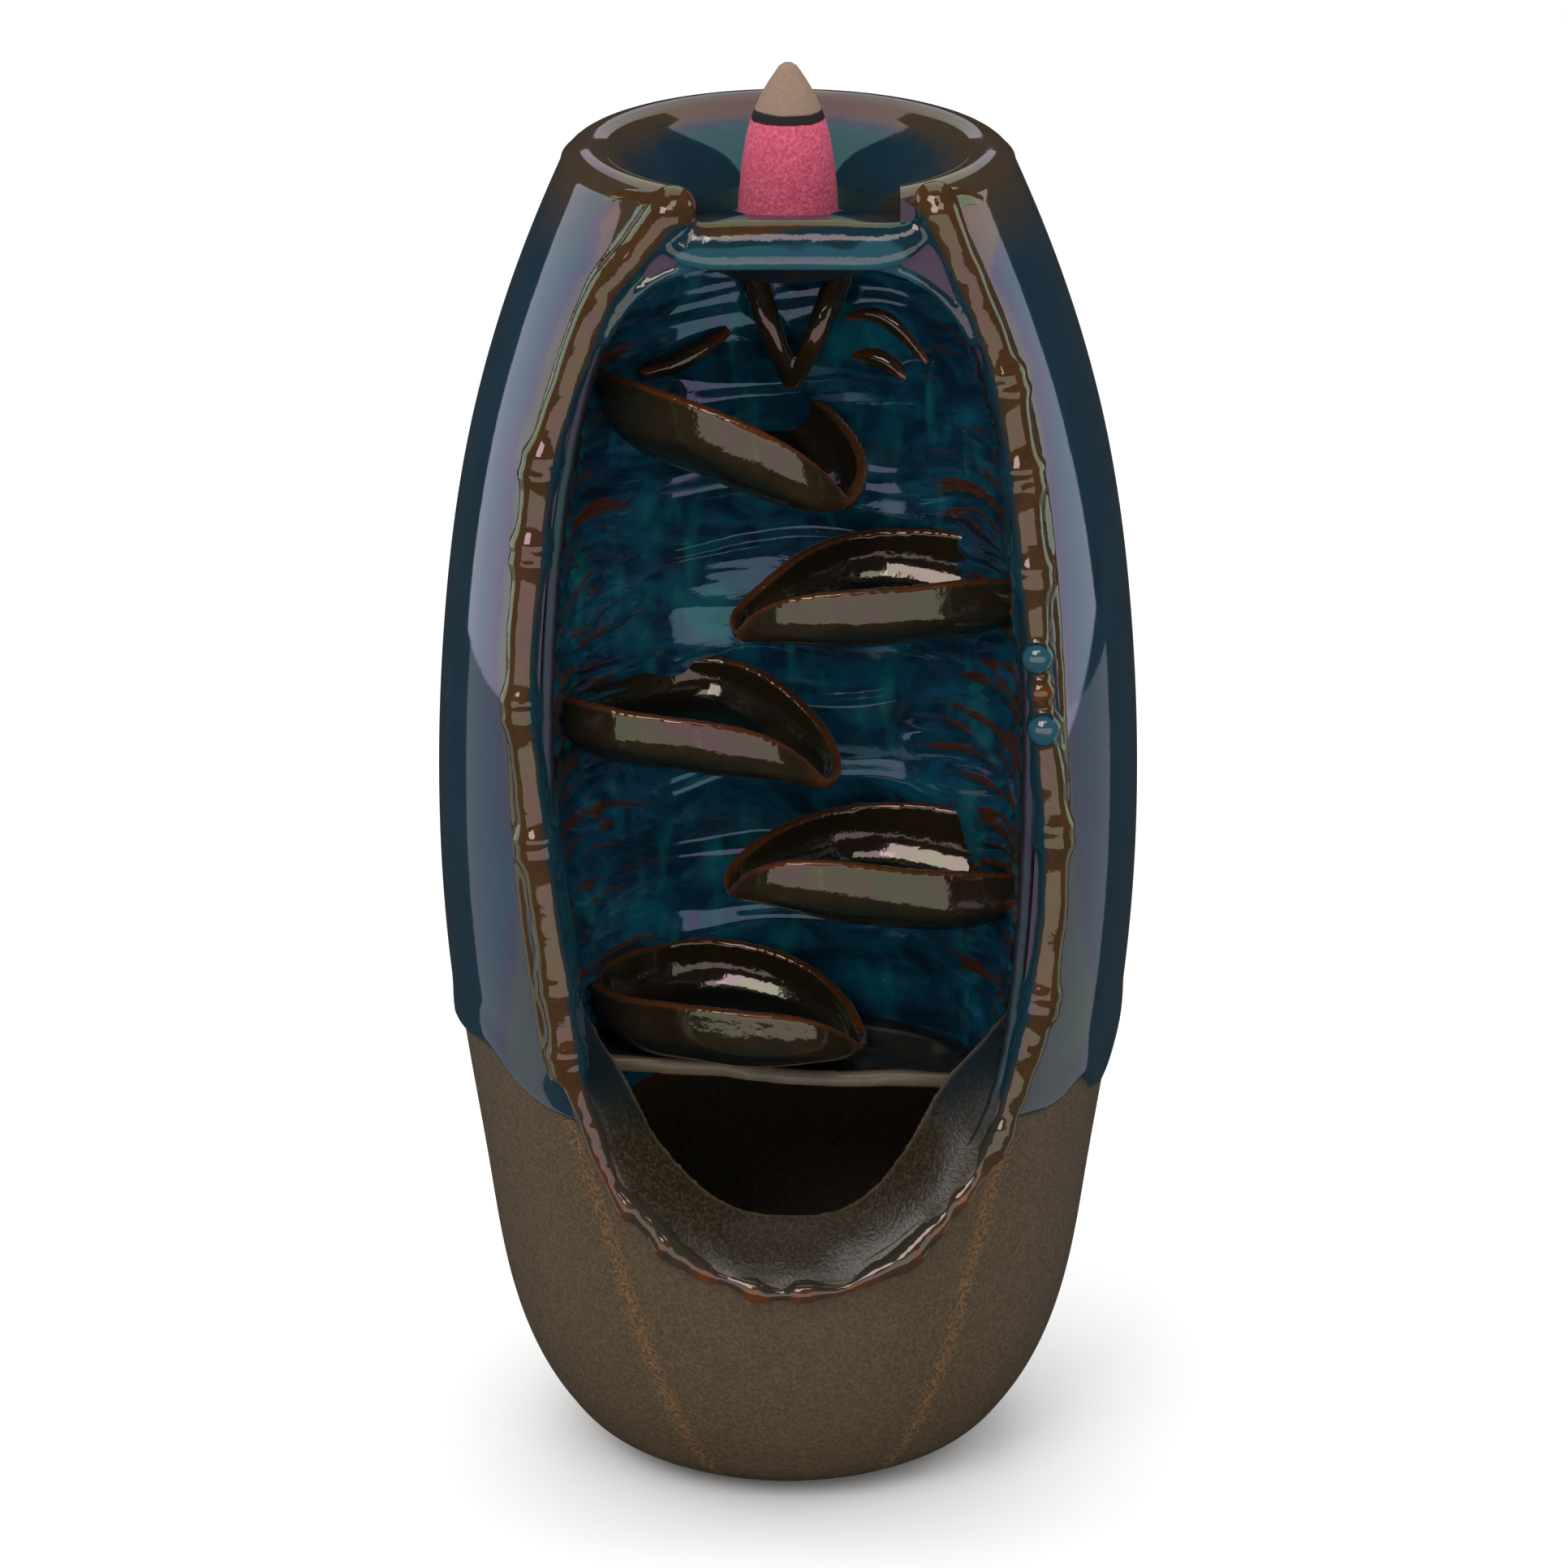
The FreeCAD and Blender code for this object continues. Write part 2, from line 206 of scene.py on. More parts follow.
# %% Curves through a few points
def spline_through(knots, values):
    """A natural cubic spline: returns a function that gives the value at any place."""
    t, v = np.asarray(knots, float), np.asarray(values, float)
    step = np.diff(t)
    size = len(t)
    matrix = np.eye(size)
    slopes = np.zeros(size)
    for i in range(1, size - 1):
        matrix[i, i - 1:i + 2] = step[i - 1], 2 * (step[i - 1] + step[i]), step[i]
        slopes[i] = 6 * ((v[i + 1] - v[i]) / step[i] - (v[i] - v[i - 1]) / step[i - 1])
    bend = np.linalg.solve(matrix, slopes)

    def at(place):
        place = np.clip(place, t[0], t[-1])
        i = np.clip(np.searchsorted(t, place) - 1, 0, size - 2)
        a, b, h = t[i + 1] - place, place - t[i], step[i]
        curved = (bend[i] * a ** 3 + bend[i + 1] * b ** 3) / (6 * h)
        return curved + (v[i] / h - bend[i] * h / 6) * a + (v[i + 1] / h - bend[i + 1] * h / 6) * b

    return at


def read_line(places, marks, line):
    """Points of a line at some places along it; the marks are the places of its own points."""
    return np.stack([np.interp(places, marks, column) for column in line.T], axis=1)


def curve_through(points, count):
    """Evenly spaced points along a smooth line through a few points."""
    points = np.asarray(points, float)
    run = np.concatenate([[0], np.cumsum(np.linalg.norm(np.diff(points, axis=0), axis=1))])
    splines = [spline_through(run, column) for column in points.T]
    fine = np.linspace(0, run[-1], 40 * len(points))
    line = np.stack([spline(fine) for spline in splines], axis=1)
    length = np.concatenate([[0], np.cumsum(np.linalg.norm(np.diff(line, axis=0), axis=1))])
    return read_line(np.linspace(0, length[-1], count), length, line)


def fade(low, high, value):
    """0 below low, 1 above high, and a soft ramp between."""
    t = np.clip((value - low) / (high - low), 0, 1)
    return t * t * (3 - 2 * t)


SEED_SHIFT = 17.3
NOISE_SCALE = 1.6


def rough(points, size, seed):
    """Smooth noise between about -1 and 1 at each point; size is its grain along x, y and z."""
    scaled = points / np.asarray(size, float) + SEED_SHIFT * seed
    return np.array([noise.noise(Vector(p)) for p in scaled]) * NOISE_SCALE


# %% [markdown]
# ## The vase
# A potter would throw the egg shape first, so the vase starts as a profile, one vertex
# extruded from point to point, and is spun round the axis. The profile runs from the
# foot up the side, over the rim and down into the dish. Spinning keeps every ring exact,
# and a glossy glaze needs that: a mirror image shows the smallest dent.

# %% Profile of the vase
HEIGHT = BODY_HIGH[2]
FOOT_RADIUS = 21.0
RIM_RADIUS = 25.7
RIM_CROWN = 4.0
DISH_DEPTH = 11.5
DISH_FLOOR_RADIUS = 10.6
DISH_THICKNESS = 4.5
# Where the dish starts on the rim's round, in shares of the round's radius inwards and down
RIM_END = (0.87, 0.42)
# Its slope below that, in shares of the starting radius and of the depth
DISH_SLOPE = ((0.8, 0.42), (0.56, 0.84))
# The side as pairs of radius and height, from the foot to just under the rim
VASE = ((21.0, 0.0), (27.8, 3.6), (33.7, 10.8), (41.1, 39.6), (44.8, 64.8), (46.3, 92.0),
        (45.3, 115.2), (41.8, 140.4), (35.7, 162.0), (31.4, 173.0), (29.4, 177.6))
SIDE = curve_through(VASE, 190)
DISH_FLOOR = HEIGHT - DISH_DEPTH


def side_radius(height):
    """Radius of the vase's outside at a height."""
    return np.interp(height, SIDE[:, 1], SIDE[:, 0])


def dish_line(drop, count):
    """The dish from its rim to its middle, lowered by a drop."""
    rim = (RIM_RADIUS - RIM_END[0] * RIM_CROWN, HEIGHT - RIM_END[1] * RIM_CROWN)
    slope = [(share * rim[0], HEIGHT - fall * DISH_DEPTH) for share, fall in DISH_SLOPE]
    bowl = curve_through([rim, *slope, (DISH_FLOOR_RADIUS, DISH_FLOOR + 0.1)], count)
    bowl[:, 1] -= drop
    floor = [(radius, DISH_FLOOR - drop) for radius in (0.5 * DISH_FLOOR_RADIUS, 0)]
    return [tuple(p) for p in bowl] + floor


print("widest", round(SIDE[:, 0].max(), 1), "at", round(SIDE[SIDE[:, 0].argmax(), 1]))


# %% Profile to solid
def chain(name, points):
    """A row of vertices, each extruded from the last; it is left open in edit mode."""
    deselect()
    bpy.ops.mesh.primitive_plane_add(size=MM, location=(0, 0, 0))
    piece = called(name)
    edit(piece)
    bpy.ops.mesh.merge(type="CENTER")
    bpy.ops.transform.translate(value=[c * MM for c in points[0]])
    for start, end in zip(points, points[1:]):
        step = [(b - a) * MM for a, b in zip(start, end)]
        bpy.ops.mesh.extrude_vertices_move(TRANSFORM_OT_translate={"value": step})
    return piece


def turned(name, outline, segments):
    """A solid spun from an outline of radius and height pairs."""
    piece = chain(name, [(r, 0, z) for r, z in outline])
    bpy.ops.mesh.select_all(action="SELECT")
    bpy.ops.mesh.spin(steps=segments, angle=2 * math.pi, center=(0, 0, 0), axis=(0, 0, 1))
    close_edit()
    return piece


def block(name, outline, push):
    """A flat outline filled and pushed into a solid."""
    piece = chain(name, outline)
    bpy.ops.mesh.select_all(action="SELECT")
    bpy.ops.mesh.edge_face_add()
    bpy.ops.mesh.extrude_region_move(TRANSFORM_OT_translate={"value": [c * MM for c in push]})
    close_edit()
    return piece


def carve(piece, cutter, operation="DIFFERENCE"):
    """Combine a piece with a cutter, and throw the cutter away."""
    modify(piece, "BOOLEAN", object=cutter, operation=operation, solver="EXACT")
    bpy.data.objects.remove(cutter)


# %% [markdown]
# ## The glaze line
# The glossy glaze ran down and stopped about a third of the way up, in a wavy edge that
# stands about a millimetre proud of the bare clay. Modelled as a bump it would vanish
# from the outline. Here the rings of the mesh themselves follow the wave, so the
# step is as crisp as the real one with no extra faces.

# %% Glaze line and its step
SEGMENTS = 224
LINE_HEIGHT = 59.5
LINE_STEP = 0.7
LINE_BEAD = 0.35
LINE_REACH = 16.0
# Rows of vertices close to the line, as heights above it
CLOSE_ROWS = (-1.6, -1.1, -0.8, -0.55, -0.3, -0.1, 0.1, 0.35, 0.7, 1.2, 2.0)
# Bearing from the front in degrees, and the height where the glaze stops there
GLAZE_LINE = (
    (-180, 59.0), (-165, 56.5), (-150, 60.5), (-132, 57.5), (-115, 61.0), (-100, 58.6),
    (-90, 59.8), (-80, 61.6), (-67, 62.7), (-63, 63.2), (-54, 60.1), (-47, 58.2), (-30, 57.6),
    (0, 57.6), (30, 57.6), (48, 57.0), (54, 57.0), (63, 58.3), (69, 55.2), (80, 58.5),
    (90, 60.4), (104, 57.2), (118, 60.8), (136, 58.0), (150, 61.4), (166, 57.6), (180, 59.0),
)


def bearing(points):
    """Angle from the front, in degrees, positive to the right."""
    return np.degrees(np.arctan2(points[:, 0], -points[:, 1]))


def glaze_height(points):
    """Height of the glaze line at each point's bearing."""
    turns, heights = zip(*GLAZE_LINE)
    return spline_through(turns, heights)(bearing(points))


def profile_rows():
    """The outline from foot to dish, with close rows where the glaze stops."""
    heights = SIDE[:, 1]
    heights = heights[np.abs(heights - LINE_HEIGHT) > 2.2]
    heights = np.sort(np.concatenate([heights, LINE_HEIGHT + np.array(CLOSE_ROWS)]))
    rows = [(0, 0), (0.5 * FOOT_RADIUS, 0), (FOOT_RADIUS - 0.6, 0)]
    rows += [(float(side_radius(z)), float(z)) for z in heights]
    for turn in np.linspace(0.5, 2.2, 12):
        crown = RIM_CROWN * (1 - math.sin(turn))
        rows.append((RIM_RADIUS + RIM_CROWN * math.cos(turn), HEIGHT - crown))
    return rows + dish_line(0, 22)


def run_glaze(piece):
    """Bend the rings to the glaze line and step the clay in below it."""
    points = points_of(piece)
    radius = np.hypot(points[:, 0], points[:, 1])
    outside = radius > side_radius(points[:, 2]) - 0.5
    above = points[:, 2] - LINE_HEIGHT
    pull = 1 - fade(2.5, LINE_REACH, np.abs(above))
    height = points[:, 2] + outside * pull * (glaze_height(points) - LINE_HEIGHT)
    skin = -LINE_STEP * (1 - fade(-0.9, 0.3, above)) * fade(0.5, 8.0, points[:, 2])
    skin += LINE_BEAD * fade(-0.8, 0.2, above) * (1 - fade(0.4, 6.0, above))
    target = np.where(outside, side_radius(height) + skin, radius)
    scale = target / np.maximum(radius, 1e-6)
    points[:, :2] *= np.where(outside, scale, 1)[:, None]
    points[:, 2] = height
    place_points(piece, points)


vase = turned("vase_shell", profile_rows(), SEGMENTS)
run_glaze(vase)
print("vase lump", len(vase.data.vertices), "vertices")

# %% [markdown]
# ## The open front
# The caster slices the front off the egg and hollows what lies behind it. The cuts are
# solids too: an outline is pushed through and subtracted, which leaves the vase's own
# rings untouched everywhere else.

# %% Slice, niche and pool
# Pairs of a height and how far in front of the axis the slice lies there
SLICE = ((196.0, 22.6), (175.0, 24.6), (150.0, 26.7), (122.0, 29.8), (98.0, 31.6),
         (75.0, 32.8), (60.0, 34.2), (48.0, 36.6), (38.0, 40.2), (28.0, 45.2))
# Right half of the opening's outline, as x and z
OPENING = ((17.0, 168.4), (22.0, 162.8), (25.8, 153.0), (30.0, 127.0), (30.8, 98.0), (29.2, 74.0),
           (24.6, 56.0))
OPENING_TOP = 170.8
OPENING_BOTTOM = 38.4
NICHE_BACK = 3.0
NICHE_RADIUS = 33.4
SHELF_HEIGHT = 59.0
SHELF_FALL = 4.0 / 70.0
SHELF_THICKNESS = 4.0
SHELF_FRONT = -20.0
LINER_SPACE = 1.2
WALL = 4.5
FLOOR = 6.0
HOLE_RADIUS = 3.3
# Beyond the vase on every side, for cutters that go right through
REACH = 70.0
LIP_SPAN = (-13.4, 14.2)
LIP_STEP = 175.2

slice_at = spline_through([z for z, _ in SLICE[::-1]], [depth for _, depth in SLICE[::-1]])


def opening_loop(grow, count):
    """The opening's outline as x and z, grown sideways by a width."""
    side = [(x + grow, z) for x, z in OPENING]
    top, bottom = (0, OPENING_TOP + grow), (0, OPENING_BOTTOM - grow)
    mirrored = [(-x, z) for x, z in side[::-1]]
    ring = [top] + side + [bottom] + mirrored
    wrapped = curve_through(ring[-3:] + ring + ring[:4], 4 * count)
    start = np.linalg.norm(wrapped - np.array(top), axis=1)
    half = len(wrapped) // 2
    first, last = int(start[:half].argmin()), half + int(start[half:].argmin())
    return wrapped[first:last:3]


# %% Lumps that are cut away
def cut_front():
    """The lump that comes off the front."""
    line = [(-REACH, -slice_at(z), z) for z in np.linspace(SLICE[0][0], SLICE[-1][0], 90)]
    line += [(-REACH, -2 * REACH, SLICE[-1][0]), (-REACH, -2 * REACH, SLICE[0][0])]
    return block("front_cut", line, (2 * REACH, 0, 0))


def cut_niche():
    """The niche down to the pool, with room for its rocky lining."""
    outline = [(x, -REACH, z) for x, z in opening_loop(LINER_SPACE, 60)]
    hollow = block("niche_cut", outline, (0, 2 * REACH, 0))
    radius = NICHE_RADIUS + LINER_SPACE
    centre = NICHE_BACK - NICHE_RADIUS
    turns = np.linspace(0, math.pi, 60)
    plan = [(radius * math.cos(t), centre + radius * math.sin(t), 0) for t in turns]
    plan += [(-radius, -2 * REACH, 0), (radius, -2 * REACH, 0)]
    carve(hollow, block("plan", plan, (0, 0, 2 * HEIGHT)), "INTERSECT")
    under = [(REACH, 2 * HEIGHT), (REACH, HEIGHT - 3), (RIM_RADIUS + 2, HEIGHT - 3)]
    under = [(0, 2 * HEIGHT)] + under + dish_line(DISH_THICKNESS, 14)
    carve(hollow, turned("dish_under", under, 96))
    return hollow


def cut_pool():
    """The hollow foot, up to the underside of the shelf."""
    rows = [(0, FLOOR), (0.6 * FOOT_RADIUS, FLOOR), (FOOT_RADIUS, FLOOR + 0.4)]
    top = SHELF_HEIGHT + 8
    rows += [(float(side_radius(z)) - WALL, float(z)) for z in np.linspace(FLOOR + 3, top, 26)]
    hollow = turned("pool_cut", rows + [(0, top)], 96)
    roof = [(x, REACH, SHELF_HEIGHT - SHELF_THICKNESS - SHELF_FALL * x) for x in (-REACH, REACH)]
    roof += [(x, REACH, 2 * REACH) for x in (REACH, -REACH)]
    carve(hollow, block("roof", roof, (0, -2 * REACH, 0)))
    return hollow


def cut_lip():
    """The step down in the rim, where the dish opens to the front."""
    left, right_end = LIP_SPAN
    corners = ((left, -2 * REACH), (left, -17), (right_end, -17), (right_end, -2 * REACH))
    return block("lip_cut", [(x, y, LIP_STEP) for x, y in corners], (0, 0, HEIGHT))


def cut_hole():
    """The hole in the floor of the dish, just in front of the axis."""
    deselect()
    bpy.ops.mesh.primitive_cylinder_add(
        radius=HOLE_RADIUS * MM, depth=20 * MM, location=(0, -MM, DISH_FLOOR * MM)
    )
    return bpy.context.object


# %% Cutting the vase
for cut in (cut_front, cut_lip, cut_niche, cut_pool, cut_hole):
    carve(vase, cut())
pick(vase)
bpy.ops.object.shade_smooth_by_angle(angle=math.radians(32))
places = points_of(vase)
keep_values(vase, "above_line", places[:, 2] - glaze_height(places))
sliced = np.abs(places[:, 1] + slice_at(places[:, 2])) < 0.05
within = np.hypot(places[:, 0], places[:, 1]) < side_radius(places[:, 2]) - 1
keep_values(vase, "cut_face", sliced | within & (places[:, 2] < OPENING_TOP))
print("vase", len(vase.data.polygons), "faces")

# %% [markdown]
# ## The rocky lining of the niche
# Behind the cups the wall is carved like a rock face: broad layers lean out one above the
# other, and thin ledges break them up at the sides. A grid is wrapped round the niche and
# its vertices are pushed in and out, by a saw-tooth for the layers and by noise that is
# long along the wall and short in height for the ledges. A wall thickness closes it.

# %% Lining
LINER_COLUMNS = 200
LINER_ROWS = 230
LINER_TOP = 166.8
LINER_BOTTOM = 50.0
LINER_WALL = 2.2
CORNER = 3.0
LEDGE_DEPTH = 1.7
LAYER_HEIGHT = 10.5
LAYER_DEPTH = 0.75

right = opening_loop(0, 120)
right = right[right[:, 0] > 0]
right = right[right[:, 1].argsort()]


def half_width(height):
    """Half the opening's width at a height."""
    return np.interp(height, right[:, 1], right[:, 0])


def wrap(u, v, inset):
    """Points of the niche wall: u runs from -1 at the left to 1 at the right, v from 0 to 1 upwards."""
    z = LINER_BOTTOM + (LINER_TOP - LINER_BOTTOM) * v
    half = np.maximum(half_width(z), 2.0)
    front = slice_at(z) - (NICHE_RADIUS - NICHE_BACK) - 0.6
    turn = u * (math.pi / 2 + np.arctan2(front, half))
    side = half / np.maximum(np.abs(np.sin(turn)), 0.02)
    gap = side - NICHE_RADIUS
    radius = (side + NICHE_RADIUS - np.sqrt(gap ** 2 + CORNER ** 2)) / 2 - inset
    x, y = radius * np.sin(turn), NICHE_BACK - NICHE_RADIUS + radius * np.cos(turn)
    return np.stack([x, y, z], axis=1)


def ledges(points, u):
    """How far the rock stands out of the wall."""
    bent = points.copy()
    bent[:, 2] += 1.6 * rough(points, (16, 16, 12), 1)
    thin = np.abs(rough(bent, (16, 16, 1.9), 2))
    # The thin ledges keep to the sides, so the middle is left to the broad layers
    sides = 0.03 + 0.97 * fade(0.32, 0.66, np.abs(u) + 0.14 * rough(points, (9, 9, 7), 4))
    layer = (bent[:, 2] + 2.0 * rough(points, (30, 30, 18), 3)) / LAYER_HEIGHT
    step = layer - np.floor(layer)
    step = step * (1 - fade(0.74, 1.0, step))
    broad = rough(points, (24, 24, 8), 5)
    edge = 1 - fade(0.93, 0.995, np.abs(u))
    return edge * (sides * LEDGE_DEPTH * (0.4 - 1.3 * thin) + LAYER_DEPTH * (step - 0.4) + 0.25 * broad)


def lining():
    """The niche wall as a sheet with no thickness yet."""
    piece, u, v = grid("niche_lining", LINER_COLUMNS, LINER_ROWS)
    v = (v + 1) / 2
    place_points(piece, wrap(u, v, ledges(wrap(u, v, 0), u)))
    edit(piece)
    bpy.ops.mesh.normals_make_consistent(inside=False)
    bpy.ops.object.mode_set(mode="OBJECT")
    return piece


liner = lining()
facing = np.array([polygon.normal[1] for polygon in liner.data.polygons]).mean()
modify(liner, "SOLIDIFY", thickness=LINER_WALL * MM, offset=1 if facing > 0 else -1)
pick(liner)
bpy.ops.object.shade_smooth()
print("lining", len(liner.data.polygons), "faces, facing", round(float(facing), 2))

# %% [markdown]
# ## Leaf cups
# Five leaf cups step down the niche, each under the tip of the one above. A cup leans
# against the rock: both its rims run from the wall to the pouring tip, one along the
# front and one round the back. They are drawn as curves, a grid is hung between
# them like a hammock, given a wall, and remeshed, which melts the rim as thick glaze does.

# %% Leaf cups
# Depth of the cup, points of its front rim, and points of its back rim, from wall to tip
LEAVES = (
    (10.4,
     ((-23.6, -9, 152.2), (-17, -18.5, 152.8), (-7.8, -24, 150.9), (1.6, -23, 145.2),
      (6.8, -18, 137.6)),
     ((-23.6, -6, 152.4), (-17, 3, 152), (-6, 6, 148.5), (3.6, 2.4, 144.2), (8.2, -6.8, 141.2),
      (8.6, -13.5, 139.4))),
    (8.4,
     ((31.2, -13, 125), (22.1, -19, 126.9), (12.7, -23, 127.2), (3.4, -24, 126.8),
      (-2.2, -22, 124.5), (-5.6, -18, 119.6)),
     ((30.5, -10, 126), (24, -6.5, 128.2), (16, -3.6, 128.4), (9, -3.4, 127.8),
      (3.6, -6.4, 126.9), (-2.2, -10.5, 123.9), (-6, -14.6, 120.6))),
    (8.0,
     ((-30.6, -14, 110), (-26.4, -19, 110.5), (-19.1, -23, 110.2), (-9.7, -24, 109.2),
      (-2.2, -22, 106.3), (4.2, -18, 99.4)),
     ((-29.6, -11, 110.8), (-18.8, -3, 109.9), (-9.9, 0.4, 109.3), (-4.2, -2.7, 108.5),
      (1, -6.8, 105.8), (4.9, -11.5, 101.8), (5.4, -15.2, 99.6))),
    (9.2,
     ((30.6, -15, 84.8), (24, -18.6, 86.6), (17, -21.2, 87.8), (7.5, -24, 90), (-2, -23, 89.4),
      (-6.7, -18, 84)),
     ((30.4, -12, 86.8), (27.6, -8.4, 88.8), (19.5, -5, 90.4), (9, -3.8, 90), (0.8, -7.6, 89),
      (-4.6, -12, 87), (-6.9, -15.6, 84.9))),
    (8.6,
     ((-24.8, -11.5, 68.2), (-21.6, -16, 68.3), (-16.2, -20, 68.9), (-6.7, -24, 69.2),
      (2.8, -23, 67.5), (8.6, -18, 62.1)),
     ((-24.2, -8.5, 69.2), (-20.4, -5, 69.8), (-13, -0.5, 69.8), (-4, -1.2, 69),
      (3.6, -5.2, 66.8), (7.8, -10.1, 63.4), (9, -14.8, 61.6))),
)
LEAF_WALL = 1.6
# Shares of the length over which the cup deepens, at the wall and at the tip
BLUNT_END = 0.3
SHARP_END = 0.5
# The lower the power, the fuller the cup; the belly swells its front
FULL = 0.75
BELLY = 1.5


def melt(piece, voxel, passes):
    """Fuse a piece into one skin and soften it."""
    modify(piece, "REMESH", mode="VOXEL", voxel_size=voxel * MM)
    modify(piece, "SMOOTH", factor=0.5, iterations=passes)
    pick(piece)
    bpy.ops.object.shade_smooth()


def leaf_cup(number, leaf):
    """One leaf, hung between its two rims."""
    depth, front, back = leaf
    piece, length, turn = grid(f"leaf_cup_{number}", 90, 44)
    length = (1 + np.sin(length * math.pi / 2)) / 2
    turn = (turn + 1) * math.pi / 2
    near = curve_through(front, 200)
    far = curve_through([*back, front[-1]], 200)
    near_rim, far_rim = (read_line(length, np.linspace(0, 1, 200), rim) for rim in (near, far))
    share = ((1 - np.sign(np.cos(turn)) * np.abs(np.cos(turn)) ** FULL) / 2)[:, None]
    points = near_rim * (1 - share) + far_rim * share
    blunt = np.sqrt(1 - (1 - np.minimum(length / BLUNT_END, 1)) ** 2)
    sharp = np.sin(math.pi / 2 * np.minimum((1 - length) / SHARP_END, 1))
    hang = np.minimum(blunt, sharp)
    points[:, 2] -= depth * hang * np.sin(turn) ** FULL
    points[:, 1] -= BELLY * hang * np.sin(2 * np.minimum(turn, math.pi / 2)) ** 2
    place_points(piece, points)
    side = -1 if front[-1][0] > front[0][0] else 1
    modify(piece, "SOLIDIFY", thickness=LEAF_WALL * MM, offset=side)
    melt(piece, 0.4, 5)
    rim = near[near[:, 0].argsort()]
    points = points_of(piece)
    # How far below the front rim each point hangs: the lower half of the cup takes a painted shade from it
    below = np.interp(points[:, 0], rim[:, 0], rim[:, 2]) - points[:, 2]
    keep_values(piece, "flank", 1 - 2.4 * below / depth)
    return piece


cups = [leaf_cup(number, leaf) for number, leaf in enumerate(LEAVES, 1)]
print("leaf cups", [len(cup.data.polygons) for cup in cups])

# %% [markdown]
# ## The twig moulding
# A twig with knuckles runs round the opening and hides the cut edge. A curve with a
# round section is the natural start: its radius swells at each joint and pinches right
# on it. The lip of the dish, the arch under it and the rolls at the twig's ends are
# joined to it, and one remesh fuses them all.

# %% Twigs
# Places of the joints as x and z, the twig's radius there, and the knuckle that swells on it
TWIG = (
    (-14.6, 177.8, 2.9, 0.2), (-18.8, 172.8, 2.5, 0.0), (-23.4, 167.4, 2.3, 0.0), (-26.0, 161.5, 2.2, 0.0),
    (-28.6, 153.8, 2.2, 0.0), (-31.6, 144.6, 2.3, 0.7), (-32.9, 133.3, 2.2, 0.8), (-33.9, 123.2, 2.2, 0.0),
    (-34.4, 113.0, 2.2, 0.7), (-33.4, 104.1, 2.2, 0.0), (-32.4, 94.8, 2.3, 0.9), (-31.2, 85.4, 2.1, 0.0),
    (-29.9, 76.3, 2.2, 0.5), (-28.6, 65.4, 2.2, 0.8), (-27.4, 61.0, 1.5, 0.0), (-24.4, 52.2, 1.3, 0.3),
    (-21.2, 46.8, 1.3, 0.3), (-14.8, 40.9, 1.3, 0.5), (-9.6, 37.9, 1.2, 0.0), (-3.4, 35.9, 1.3, 0.4),
    (1.8, 35.7, 1.2, 0.3), (8.4, 36.6, 1.2, 0.0), (15.8, 40.2, 1.3, 0.4), (22.1, 46.6, 1.3, 0.0),
    (27.6, 55.0, 1.4, 0.4), (29.6, 61.5, 1.8, 0.0), (31.2, 67.4, 2.1, 0.3), (32.8, 73.6, 2.2, 0.8),
    (34.2, 85.4, 2.1, 0.0), (34.4, 96.3, 2.2, 0.7), (33.6, 104.4, 2.2, 0.2), (32.9, 111.1, 1.6, 0.0),
    (32.1, 120.5, 1.6, 0.0), (31.3, 130.4, 2.2, 0.8), (30.0, 143.2, 2.3, 0.9), (28.0, 155.6, 2.2, 0.8),
    (25.2, 163.4, 2.2, 0.0), (21.8, 171.2, 2.4, 0.0), (18.6, 178.4, 2.8, 0.2),
)
# Rolls of glaze that lead from the rim of the dish to the ends of the twig
CAPS = (
    ((-25.4, -12.0, 175.0), (-23.4, -16.0, 176.6), (-19.6, -19.4, 177.6), (-15.6, -21.8, 177.5)),
    ((17.6, -21.6, 177.3), (20.4, -19.2, 177.6), (23.8, -15.8, 176.6), (25.8, -11.8, 175.0)),
)
CAP_RADIUS = 2.3
CAP_TAPER = np.linspace(0.35, 1, 40)
SWELL = 1.7
PINCH = 0.6
# Berries, as x, z and radius
BEADS = ((32.0, 120.2, 2.3), (32.4, 115.6, 2.0), (32.9, 110.8, 2.4))
TWIG_SINK = 0.5
# How far a shoulder lies outside the twig, along the vase, and the inner rod inside it
SHOULDER_REACH = 3.0
SHOULDER_RADIUS = 1.7
INNER_REACH = 1.7
INNER_SHARE = 0.75
MIDDLE_OF_FRONT = np.array([0, -30, 105])
LIP = ((-17.0, 175.4), (-13.0, 173.7), (-8.0, 173.4), (0.0, 173.5), (8.0, 173.4), (13.6, 173.7),
       (17.6, 175.4))
LIP_HEIGHT = LIP[3][1]
LIP_DEPTH = 25.2
LIP_RADIUS = 3.1
LIP_FLATNESS = 0.5
LIP_LEAN = 0.38
ARCH_RADIUS = 0.9


# %% Rods and berries
def rod(name, line, radii):
    """A round rod along a line of points, with its own radius at each."""
    data = bpy.data.curves.new(name, "CURVE")
    data.dimensions = "3D"
    data.bevel_depth = MM
    data.bevel_resolution = 5
    data.use_fill_caps = True
    strand = data.splines.new("POLY")
    strand.points.add(len(line) - 1)
    for point, place, radius in zip(strand.points, line, radii):
        point.co = (*(np.asarray(place) * MM), 1)
        point.radius = radius
    curve = bpy.data.objects.new(name, data)
    bpy.context.collection.objects.link(curve)
    pick(curve)
    bpy.ops.object.convert(target="MESH")
    return bpy.context.object


def joined(pieces, name):
    """Several pieces made one."""
    pick(pieces[0])
    for piece in pieces:
        piece.select_set(True)
    bpy.ops.object.join()
    return called(name)


def bead(place, radius):
    """A berry on the twig."""
    deselect()
    bpy.ops.mesh.primitive_uv_sphere_add(radius=radius * MM, location=[c * MM for c in place])
    bpy.ops.object.transform_apply(location=True)
    return bpy.context.object


